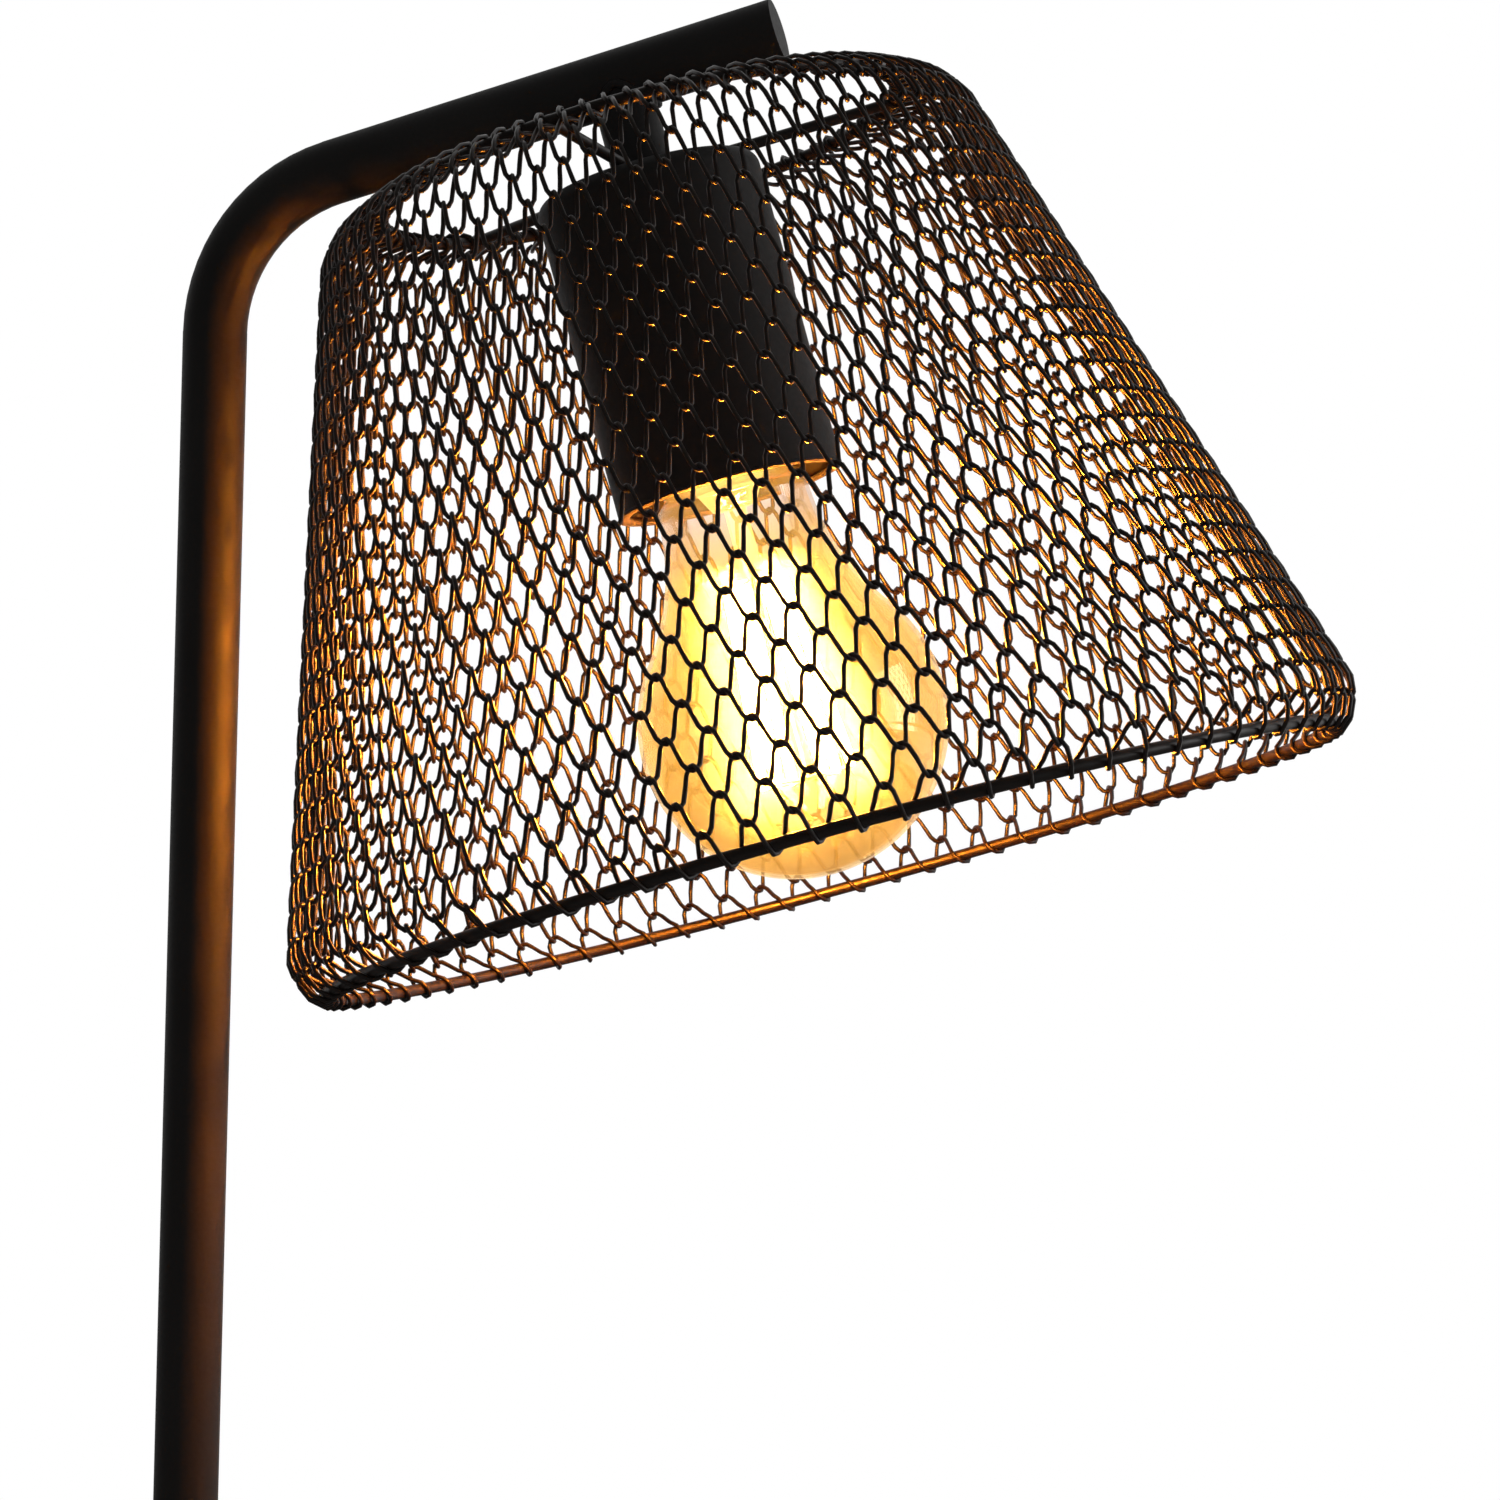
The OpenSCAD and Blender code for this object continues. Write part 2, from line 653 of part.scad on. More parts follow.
// Middle line of course k, one closed flattened coil: down each outer leg and up each inner leg.
// Each entry holds a point and the way out from the coil's core there.
function course_line(k) =
    let (leg = leg_stations(k), n = len(leg) - 1, first = leg[0][0], run = leg[n][0] - first)
    [for (i = [0 : mesh_loops - 1])
        let (start = first_tip + (i + k / 2) * loop_turn)
        for (step = [0 : 2 * n + 1])
            let (down = step <= n, at = leg[down ? step : 2 * n + 1 - step],
                share = (at[0] - first) / run, side = down ? 1 : -1,
                angle = start + loop_turn * (down ? share / 2 : 1 - share / 2),
                aside = side * tip_half * (1 - 2 * share))
            [mesh_point(angle, at[0], side * at[1], aside),
             mesh_point(angle, at[0], side * (at[1] + 1), aside) - mesh_point(angle, at[0], side * at[1], aside)]];

function unit(v) = v / norm(v);

// Three corners of the wire at one point of a closed line. Each corner of the line is mitred, and
// the section's point is turned away from the coil's core with its flat side toward it.
function wire_section(before, at, after) =
    let (into = unit(at[0] - before[0]), out = unit(after[0] - at[0]), along = unit(into + out),
        sharp = norm(out - into) > 0.6, lean = sharp ? into - out : at[1],
        away = unit(lean - (lean * along) * along), aside = cross(away, along),
        stretch = 1 / sqrt((1 + into * out) / 2))
    [for (a = [90, 210, 330])
        at[0] + mesh_wire_d / 2 * (cos(a) * aside + stretch * sin(a) * away)];

// Shift of the three corners of one section to those of the next that turns the wire least
function least_turn(points, from, to) =
    let (turns = [for (shift = [0 : 2])
        norm([for (j = [0 : 2]) norm(points[to + (j + shift) % 3] - points[from + j])])])
    turns[0] == min(turns) ? 0 : turns[1] == min(turns) ? 1 : 2;

module mesh_course(k) {
    line = course_line(k);
    n = len(line);
    points = [for (i = [0 : n - 1])
        each wire_section(line[(i + n - 1) % n], line[i], line[(i + 1) % n])];
    // Each four-cornered face is split the way that keeps the wire full. The faces start after the
    // first leg, so the list ends on a long straight face.
    faces = [for (i = [1 : n])
        let (from = 3 * (i % n), to = 3 * ((i + 1) % n), shift = least_turn(points, from, to))
        for (j = [0 : 2])
            let (a = from + j, b = from + (j + 1) % 3, c = to + (j + shift) % 3, d = to + (j + shift + 1) % 3,
                full = cross(points[c] - points[a], points[b] - points[a]) * (points[d] - points[a]) > 0)
            each full ? [[a, c, b], [b, c, d]] : [[a, c, d], [a, d, b]]];
    color(BLACK_STEEL) head() polyhedron(points = points, faces = faces);
}

// Outline of the cup at one distance in from its outer face, for turning round z
module cup_outline(inset) {
    r = cup_d / 2 - inset;
    edge = cup_edge - inset;
    top = -cup_top - inset;
    translate([0, -cup_mouth - inset]) square([r, cup_mouth + top + inset - edge]);
    translate([0, -cup_mouth - inset]) square([r - edge, cup_mouth + top + inset]);
    translate([r - edge, top - edge]) circle(r = edge);
}

module holder_cup() {
    color(BLACK_STEEL) head() difference() {
        rotate_extrude() difference() {
            cup_outline(0);
            cup_outline(cup_wall);
        }
        drop(cup_top - past, cup_floor + past, nipple_d / 2 + fit);
    }
}

module cup_nut() {
    color(ZINC) head() translate([0, 0, -cup_nut_end])
        hex_nut(cup_nut_af, cup_nut_h, nipple_d + 2 * fit);
}

// Upper half of the lampholder, with its threaded entry
module holder_cap() {
    shoulder = 6;
    color(BLACK_PLASTIC) head() difference() {
        rotate_extrude() difference() {
            polygon([[0, -holder_joint], [holder_r, -holder_joint], [holder_r, -holder_top - shoulder],
                [holder_r - shoulder, -holder_top], [0, -holder_top]]);
            polygon([[0, -holder_joint - past], [holder_bore_r, -holder_joint - past],
                [holder_bore_r, -holder_top - shoulder - holder_wall / 2],
                [holder_bore_r - shoulder + holder_wall, -holder_top - holder_roof],
                [0, -holder_top - holder_roof]]);
        }
        drop(holder_top - past, holder_top + holder_roof + past, nipple_d / 2 + fit);
    }
}

// Lower half of the lampholder, with the ledge that carries the contact base
module holder_skirt() {
    ledge_h = 2.5;
    color(BLACK_PLASTIC) head() rotate_extrude() difference() {
        translate([0, -holder_rim]) square([holder_r, holder_rim - holder_joint]);
        translate([0, -holder_rim - past]) square([screw_shell_out + slip, holder_rim + past]);
        translate([0, -contact_base_end]) square([holder_bore_r, contact_base_end]);
        translate([0, -holder_rim - past])
            square([holder_bore_r, holder_rim + past - contact_base_end - ledge_h]);
    }
}

module contact_base() {
    color(WHITE_CERAMIC) head() difference() {
        drop(holder_joint, contact_base_end, holder_bore_r - slip);
        for (side = [-1, 1]) translate([0, side * terminal_y, 0]) {
            drop(holder_joint - past, holder_joint + contact_base_t * 0.6, lead_d / 2 + slip);
            translate([-5, 0, 0]) drop(holder_joint - past, holder_joint + 4, 1.5 + fit);
        }
    }
}

module terminal_screws() {
    color(BRASS) head() for (side = [-1, 1]) translate([-5, side * terminal_y, 0]) {
        drop(holder_joint - 1.5, holder_joint, 2.8);
        drop(holder_joint - past, holder_joint + 3.5, 1.5);
    }
}

module screw_shell() {
    floor_hole = 8;
    color(BRASS) head() difference() {
        drop(contact_base_end, screw_shell_end, screw_shell_out);
        drop(contact_base_end + brass_t, screw_shell_end + past, screw_shell_r);
        drop(contact_base_end - past, screw_shell_end, floor_hole);
    }
}

// Spring tongue that presses on the bulb's middle contact
module centre_contact() {
    half = 3;
    root = -7;
    color(BRASS) head() translate([0, half, 0]) rotate([90, 0, 0]) linear_extrude(2 * half)
        polygon([[root, -contact_base_end], [root / 3, -contact_base_end], [half, -tongue_end + brass_t],
            [-root - 1, -tongue_end + brass_t], [-root - 1, -tongue_end], [half, -tongue_end],
            [root / 3, -contact_base_end - brass_t], [root, -contact_base_end - brass_t]]);
}

module bulb_contact() {
    color(BRASS) head() {
        drop(bulb_top + button_h / 2, bulb_top + button_h, button_r);
        drop(bulb_top, bulb_top + button_h, button_r * 0.7);
    }
}

module bulb_insulator() {
    color(BLACK_PLASTIC) head() translate([0, 0, -cap_top])
        cylinder(h = insulator_h, r1 = insulator_r, r2 = button_r);
}

// Outline of the screw cap at one distance in from its outer face
module cap_outline(inset) {
    polygon([[0, -cap_top - inset], [insulator_r - inset, -cap_top - inset],
        [cap_r - inset, -cap_top - 2 - inset], [cap_r - inset, -cap_end - inset], [0, -cap_end - inset]]);
}

module bulb_cap() {
    color(ZINC) head() rotate_extrude() difference() {
        cap_outline(0);
        cap_outline(cap_t);
    }
}

// Outline of the glass at one distance in from its outer face: the seat in the cap, a flare to the
// neck, the hollow blend and the globe
module glass_outline(inset) {
    steps = 24;
    blend = [for (i = [0 : steps])
        let (a = blend_turn * i / steps)
        [bulb_neck_r + bulb_blend - (bulb_blend + inset) * cos(a), -blend_depth - (bulb_blend + inset) * sin(a)]];
    globe = [for (i = [1 : 2 * steps])
        let (a = blend_turn - (90 + blend_turn) * i / (2 * steps))
        [(globe_r - inset) * cos(a), -globe_depth + (globe_r - inset) * sin(a)]];
    polygon(concat([[0, -glass_start + inset], [glass_seat_r - inset, -glass_start + inset],
        [glass_seat_r - inset, -cap_end - slip]], blend, globe));
}

module bulb_glass() {
    color(AMBER_GLASS) head() rotate_extrude() difference() {
        glass_outline(0);
        glass_outline(glass_t);
        translate([0, -glass_start - glass_t]) square([glass_seat_r - glass_t, 2 * glass_t]);
    }
}

// Glass mount that carries the light sticks: a flare in the neck and a rod down to its tip
module bulb_stem() {
    flare_r = glass_seat_r - glass_t - fit;
    flare_h = 14;
    color(AMBER_GLASS) head() {
        translate([0, 0, -glass_start - flare_h])
            cylinder(h = flare_h, r1 = 2 * stem_rod_r, r2 = flare_r);
        drop(glass_start, stem_tip, stem_rod_r);
    }
}

// Ends of light stick i: high on the mount's wires, and low and further out
function stick_end(i, low) =
    let (a = 360 * i / stick_count, r = low ? stick_low_r : stick_high_r)
    [r * cos(a), r * sin(a), -stick_top - (low ? stick_len : 0)];

module light_sticks(d) {
    for (i = [0 : stick_count - 1]) rod(stick_end(i, false), stick_end(i, true), d);
}

// Wires from the glass mount to the top of each stick, and from its tip to the foot of each
module bulb_support_wires() {
    wire = 0.6;
    foot = -stick_top - stick_len;
    color(ZINC) head() difference() {
        union() {
            for (i = [0 : stick_count - 1]) {
                rod([0, 0, -stick_top], stick_end(i, false), wire);
                rod([0, 0, foot], stick_end(i, true), wire);
            }
            rod([0, 0, -stem_tip + past], [0, 0, foot], wire);
        }
        drop(glass_start, stem_tip + fit, stem_rod_r + fit);
        light_sticks(stick_d + 2 * fit);
    }
}

module bulb_filaments() {
    color(WARM_LIGHT) head() light_sticks(stick_d);
}

// Small driver board that stands in the screw cap
module bulb_driver() {
    board = [14, 1.2, 9];
    color(DARK_IRON) head() translate([0, 0, -cap_top - cap_t - slip - board[2] / 2]) {
        cube(board, center = true);
        translate([-3, 2, 0]) cube([5, 3, 6], center = true);
    }
}

base_cover();
base_weight();
base_plate();
base_screws();
base_pad();
cord_inlet_bush();
terminal_block();
inner_leads();
foot_insert();
foot_nipple();
foot_washer();
foot_nut();
stem_tube();
arm_end_plug();
head_neck();
neck_nipple();
spider_hub();
spider_arms();
top_ring();
bottom_ring();
mesh_course(0);  // mesh_course_01
mesh_course(1);  // mesh_course_02
mesh_course(2);  // mesh_course_03
mesh_course(3);  // mesh_course_04
mesh_course(4);  // mesh_course_05
mesh_course(5);  // mesh_course_06
mesh_course(6);  // mesh_course_07
mesh_course(7);  // mesh_course_08
mesh_course(8);  // mesh_course_09
mesh_course(9);  // mesh_course_10
mesh_course(10);  // mesh_course_11
mesh_course(11);  // mesh_course_12
mesh_course(12);  // mesh_course_13
holder_cup();
cup_nut();
holder_cap();
holder_skirt();
contact_base();
terminal_screws();
screw_shell();
centre_contact();
bulb_contact();
bulb_insulator();
bulb_cap();
bulb_glass();
bulb_stem();
bulb_support_wires();
bulb_filaments();
bulb_driver();
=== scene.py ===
"""Dresses a table lamp with a knitted wire shade: finishes, mesh, lit bulb, studio and camera.

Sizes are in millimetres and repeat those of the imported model. The head frame lies on the arm's
axis above the neck: x runs out along the arm, and a depth counts down from the arm's axis.
"""

from __future__ import annotations

import logging
import math
from dataclasses import dataclass, field
from enum import Enum
from typing import Any, Protocol

import bpy
import numpy as np
from mathutils import Matrix

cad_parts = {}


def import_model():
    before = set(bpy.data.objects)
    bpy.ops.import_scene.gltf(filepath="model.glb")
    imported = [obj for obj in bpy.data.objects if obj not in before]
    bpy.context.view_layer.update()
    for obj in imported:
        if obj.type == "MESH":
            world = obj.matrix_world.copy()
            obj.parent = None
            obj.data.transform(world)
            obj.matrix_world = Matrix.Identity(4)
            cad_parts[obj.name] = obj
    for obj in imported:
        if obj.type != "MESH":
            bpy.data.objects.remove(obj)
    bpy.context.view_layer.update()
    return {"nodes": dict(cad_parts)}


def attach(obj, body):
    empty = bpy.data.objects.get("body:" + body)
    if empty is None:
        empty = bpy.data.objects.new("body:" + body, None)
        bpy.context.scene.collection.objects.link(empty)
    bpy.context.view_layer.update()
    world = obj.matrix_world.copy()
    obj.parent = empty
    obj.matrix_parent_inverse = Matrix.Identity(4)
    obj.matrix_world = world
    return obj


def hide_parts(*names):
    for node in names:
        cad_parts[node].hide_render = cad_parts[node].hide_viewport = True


LOG = logging.getLogger("lamp")
MM = 0.001

Pair = tuple[float, float]
Triple = tuple[float, float, float]


class Body(Enum):
    """The bodies that the new pieces ride on."""

    LAMP = "lamp"
    BULB = "bulb"


class Slot(Enum):
    """The material slots of the record."""

    BLACK_STEEL = "black_steel"
    GREY_IRON = "grey_iron"
    ZINC_STEEL = "zinc_steel"
    SOFT_PAD = "soft_pad"
    BLACK_PLASTIC = "black_plastic"
    LEAD_SHEATH = "lead_sheath"
    BRASS = "brass"
    DARK_PHENOLIC = "dark_phenolic"
    WHITE_CERAMIC = "white_ceramic"
    SOLDER = "solder"
    BLACK_GLASS = "black_glass"
    NICKEL_CAP = "nickel_cap"
    AMBER_GLASS = "amber_glass"
    CLEAR_GLASS = "clear_glass"
    LIGHT_STICK = "light_stick"
    CIRCUIT_BOARD = "circuit_board"


def linear(hex_colour: str) -> tuple[float, float, float, float]:
    """Turns an sRGB colour into linear light.

    Args:
        hex_colour: The colour as "#rrggbb".

    Returns:
        Linear red, green, blue and an alpha of 1.
    """
    steps = [int(hex_colour[i : i + 2], 16) / 255 for i in (1, 3, 5)]
    red, green, blue = (c / 12.92 if c <= 0.04045 else ((c + 0.055) / 1.055) ** 2.4 for c in steps)
    return red, green, blue, 1.0


WHITE = linear("#ffffff")
BLACK = linear("#000000")


def fill(tree: bpy.types.NodeTree, socket: bpy.types.NodeSocket, value: Any) -> None:
    """Links an output to a socket, or sets the socket to a plain value.

    Args:
        tree: The node tree.
        socket: The input to fill.
        value: An output, or a value.
    """
    if isinstance(value, bpy.types.NodeSocket):
        tree.links.new(value, socket)
    else:
        socket.default_value = value


def add(
    tree: bpy.types.NodeTree, kind: str, inputs: dict[Any, Any] | None = None, **settings: Any
) -> bpy.types.Node:
    """Adds one node, sets its properties, and fills or links its inputs.

    Args:
        tree: The node tree.
        kind: The node's type.
        inputs: A value, or the output to link, for each input by its name or number.
        **settings: Properties of the node.

    Returns:
        The new node.
    """
    node = tree.nodes.new(kind)
    for name, value in settings.items():
        setattr(node, name, value)
    for key, value in (inputs or {}).items():
        fill(tree, node.inputs[key], value)
    return node


class Skin:
    """A new material with one Principled shader, ready for a finish to add its patterns."""

    def __init__(self, name: str) -> None:
        """Starts the material.

        Args:
            name: The material's name.
        """
        self.material = bpy.data.materials.new(name)
        self.material.use_nodes = True
        self.tree = self.material.node_tree
        self.tree.nodes.clear()
        self.place = add(self.tree, "ShaderNodeTexCoord").outputs["Object"]
        self.shader = add(self.tree, "ShaderNodeBsdfPrincipled")
        self.output = add(self.tree, "ShaderNodeOutputMaterial", {"Surface": self.shader.outputs[0]})

    def add(self, kind: str, inputs: dict[Any, Any] | None = None, **settings: Any) -> bpy.types.Node:
        """Adds one node to this material's tree."""
        return add(self.tree, kind, inputs, **settings)

    def sized(self, size_mm: float, **more: Any) -> dict[str, Any]:
        """Inputs of a pattern whose features have this size in mm, on coordinates in metres."""
        return {"Vector": self.place, "Scale": 1 / (size_mm * MM), **more}

    def set(self, **inputs: Any) -> None:
        """Sets or links inputs of the shader; an underscore in a name stands for a space."""
        for name, value in inputs.items():
            fill(self.tree, self.shader.inputs[name.replace("_", " ")], value)

    def colour_and_relief(
        self, shade: bpy.types.Node, tones: tuple[str, str], relief: bpy.types.Node, depth: Pair
    ) -> None:
        """Lets one pattern shade the surface between two tones, and another raise it.

        Args:
            shade: The pattern of the colour.
            tones: The colours where that pattern is 0 and 1.
            relief: The pattern of the height.
            depth: The strength of the relief, and its height in millimetres.
        """
        low, high = (linear(tone) for tone in tones)
        colour = self.add("ShaderNodeMix", {0: shade.outputs[0], 6: low, 7: high}, data_type="RGBA")
        strength, height = depth
        raised = {"Height": relief.outputs[0], "Strength": strength, "Distance": height * MM}
        self.set(Base_Color=colour.outputs[2], Normal=self.add("ShaderNodeBump", raised).outputs[0])

    def dull(self, pattern: bpy.types.Node, roughness: Pair, span: Pair = (0.3, 0.7)) -> None:
        """Lets the roughness run from one value to another while a pattern runs over a span.

        Args:
            pattern: The pattern of the roughness.
            roughness: The roughness at the two ends.
            span: The pattern's values at the two ends. Most of a noise lies within the usual one.
        """
        (start, end), (low, high) = span, roughness
        ends = {"From Min": start, "From Max": end, "To Min": low, "To Max": high}
        level = self.add("ShaderNodeMapRange", {"Value": pattern.outputs[0], **ends})
        self.set(Roughness=level.outputs[0])

    def show(self, shader: bpy.types.Node) -> None:
        """Shows another shader in place of the Principled one."""
        fill(self.tree, self.output.inputs["Surface"], shader.outputs[0])


class Finish(Protocol):
    """Any finish of the lamp."""

    def material(self) -> bpy.types.Material:
        """Builds the material."""


@dataclass(frozen=True)
class PowderCoat:
    """Fine-textured black powder coat, baked on steel.

    The powder melts into a skin with a fine peel, so a light breaks into a soft grainy band and the
    shaded side stays nearly black.
    """

    name: str = "powder_coat_on_steel"
    tones: tuple[str, str] = ("#0b0908", "#13100e")
    roughness: Pair = (0.58, 0.7)
    # The real peel is about 0.3 mm, too fine for the render, and is drawn this coarse to show. Its
    # depth, as in each finish, is the relief's strength and its height in millimetres
    peel_mm: float = 0.9
    peel_depth: Pair = (0.7, 0.012)
    # Faint clouds where the coat is thicker
    cloud_mm: float = 24.0
    # Most of the product of the peel and the clouds lies within this
    product_span: Pair = (0.12, 0.4)

    def material(self) -> bpy.types.Material:
        """Builds the coat: peel in the bump, clouds in colour, and both in the roughness.

        Returns:
            The new material.
        """
        skin = Skin(self.name)
        peel = skin.add("ShaderNodeTexNoise", skin.sized(self.peel_mm, Detail=3.0, Roughness=0.6))
        cloud = skin.add("ShaderNodeTexNoise", skin.sized(self.cloud_mm, Detail=4.0))
        patterns = {0: peel.outputs[0], 1: cloud.outputs[0]}
        both = skin.add("ShaderNodeMath", patterns, operation="MULTIPLY")
        skin.colour_and_relief(cloud, self.tones, peel, self.peel_depth)
        skin.dull(both, self.roughness, self.product_span)
        skin.set(Specular_IOR_Level=0.36)
        return skin.material


@dataclass(frozen=True)
class LacqueredWire:
    """Drawn steel wire, knitted and then dipped in black lacquer.

    The lacquer is smoother than powder, so each bend catches a small sharp light, a little uneven
    where the lacquer has run.
    """

    name: str = "black_lacquer_on_drawn_wire"
    # Thin lacquer, which the steel shows through a little, and thick
    tones: tuple[str, str] = ("#160d07", "#0c0806")
    roughness: Pair = (0.34, 0.48)
    # Runs and beads of the lacquer along the wire
    run_mm: float = 3.0
    run_depth: Pair = (0.3, 0.02)

    def material(self) -> bpy.types.Material:
        """Builds the lacquer: uneven colour, gloss and height along the wire.

        Returns:
            The new material.
        """
        skin = Skin(self.name)
        run = skin.add("ShaderNodeTexNoise", skin.sized(self.run_mm, Detail=2.0))
        skin.colour_and_relief(run, self.tones, run, self.run_depth)
        skin.dull(run, self.roughness)
        return skin.material


@dataclass(frozen=True)
class SandCastIron:
    """Grey iron as it leaves the sand mould: dull, pitted, with a hint of brown in the hollows."""

    name: str = "sand_cast_grey_iron"
    tones: tuple[str, str] = ("#3a3330", "#6d6b68")
    grain_mm: float = 1.2
    pits: Pair = (0.8, 0.25)

    def material(self) -> bpy.types.Material:
        """Builds the casting skin from the mould's grain.

        Returns:
            The new material.
        """
        skin = Skin(self.name)
        grain = skin.add("ShaderNodeTexNoise", skin.sized(self.grain_mm, Detail=5.0, Roughness=0.65))
        skin.colour_and_relief(grain, self.tones, grain, self.pits)
        skin.set(Metallic=0.6, Roughness=0.72)
        return skin.material


@dataclass(frozen=True)
class BareMetal:
    """Rolled, drawn or plated metal left bare: a clear metallic shine, broken by fine tool marks."""

    name: str
    tones: tuple[str, str]
    roughness: Pair
    # Spread of the plating's clouds or the metal's stains
    cloud_mm: float
    # Spacing of the marks round a turned or drawn piece, drawn coarser than the real ones
    mark_mm: float
    mark_depth: Pair = (0.35, 0.02)
    # The pattern's scale along each axis: the marks are long across z, and close along it
    stretch: Triple = (0.15, 0.15, 1.0)

    def material(self) -> bpy.types.Material:
        """Builds the metal: clouds in colour and gloss, and fine marks stretched round the piece.

        Returns:
            The new material.
        """
        skin = Skin(self.name)
        cloud = skin.add("ShaderNodeTexNoise", skin.sized(self.cloud_mm, Detail=4.0))
        drawn = skin.add("ShaderNodeMapping", {"Vector": skin.place, "Scale": self.stretch}).outputs[0]
        mark = skin.add("ShaderNodeTexNoise", skin.sized(self.mark_mm, Detail=2.0, Vector=drawn))
        skin.colour_and_relief(cloud, self.tones, mark, self.mark_depth)
        skin.dull(cloud, self.roughness)
        skin.set(Metallic=1.0)
        return skin.material


@dataclass(frozen=True)
class MouldedPlastic:
    """Moulded plastic or sheath: an even skin with the mould's fine spark-eroded grain."""

    name: str
    # The plastic as moulded, and where it is worn
    tones: tuple[str, str]
    roughness: float
    # The real grain is too fine for the render, and is drawn this coarse to show
    grain_mm: float = 0.7
    grain_depth: Pair = (0.6, 0.02)
    # Spread of the marks that handling leaves
    handled_mm: float = 9.0

    def material(self) -> bpy.types.Material:
        """Builds the plastic: the mould's grain in bump, handling marks in colour.

        Returns:
            The new material.
        """
        skin = Skin(self.name)
        grain = skin.add("ShaderNodeTexNoise", skin.sized(self.grain_mm, Detail=2.0))
        mark = skin.add("ShaderNodeTexNoise", skin.sized(self.handled_mm, Detail=5.0))
        skin.colour_and_relief(mark, self.tones, grain, self.grain_depth)
        skin.set(Roughness=self.roughness)
        return skin.material


@dataclass(frozen=True)
class FoamPad:
    """Closed-cell foam sheet, cut to a disc: matt black with small open cells on the cut face."""

    name: str = "closed_cell_foam"
    tones: tuple[str, str] = ("#2b2a2a", "#171616")
    cell_mm: float = 0.9
    cell_depth: Pair = (0.7, 0.15)

    def material(self) -> bpy.types.Material:
        """Builds the foam from its cells.

        Returns:
            The new material.
        """
        skin = Skin(self.name)
        cell = skin.add("ShaderNodeTexVoronoi", skin.sized(self.cell_mm))
        skin.colour_and_relief(cell, self.tones, cell, self.cell_depth)
        skin.set(Roughness=0.92)
        return skin.material


@dataclass(frozen=True)
class Steatite:
    """Pressed and fired steatite: off-white, eggshell gloss, with a few dark specks."""

    name: str = "fired_steatite"
    tones: tuple[str, str] = ("#e9e5da", "#b7ab97")
    speck_mm: float = 1.4
    speck_depth: Pair = (0.3, 0.05)
    # Values of the pattern over which a speck darkens, and how far it does
    speck_span: Pair = (0.62, 0.7)
    speck_share: float = 0.6

    def material(self) -> bpy.types.Material:
        """Builds the ceramic from its specks and a faint unevenness.

        Returns:
            The new material.
        """
        skin = Skin(self.name)
        speck = skin.add("ShaderNodeTexNoise", skin.sized(self.speck_mm, Detail=4.0))
        start, end = self.speck_span
        span = {"From Min": start, "From Max": end, "To Max": self.speck_share}
        rare = skin.add("ShaderNodeMapRange", {"Value": speck.outputs[0], **span})
        skin.colour_and_relief(rare, self.tones, speck, self.speck_depth)
        skin.set(Roughness=0.38)
        return skin.material


@dataclass(frozen=True)
class BlackGlass:
    """Fused black glass between the bulb's contacts: deep black with a wet, slightly wavy gloss."""

    name: str = "fused_black_glass"
    tones: tuple[str, str] = ("#08080a", "#17161c")
    wave_mm: float = 4.0
    wave_depth: Pair = (0.4, 0.2)

    def material(self) -> bpy.types.Material:
        """Builds the glass with the slow waves of a melted surface.

        Returns:
            The new material.
        """
        skin = Skin(self.name)
        wave = skin.add("ShaderNodeTexNoise", skin.sized(self.wave_mm, Detail=1.0))
        skin.colour_and_relief(wave, self.tones, wave, self.wave_depth)
        skin.set(Roughness=0.08, IOR=1.6)
        return skin.material


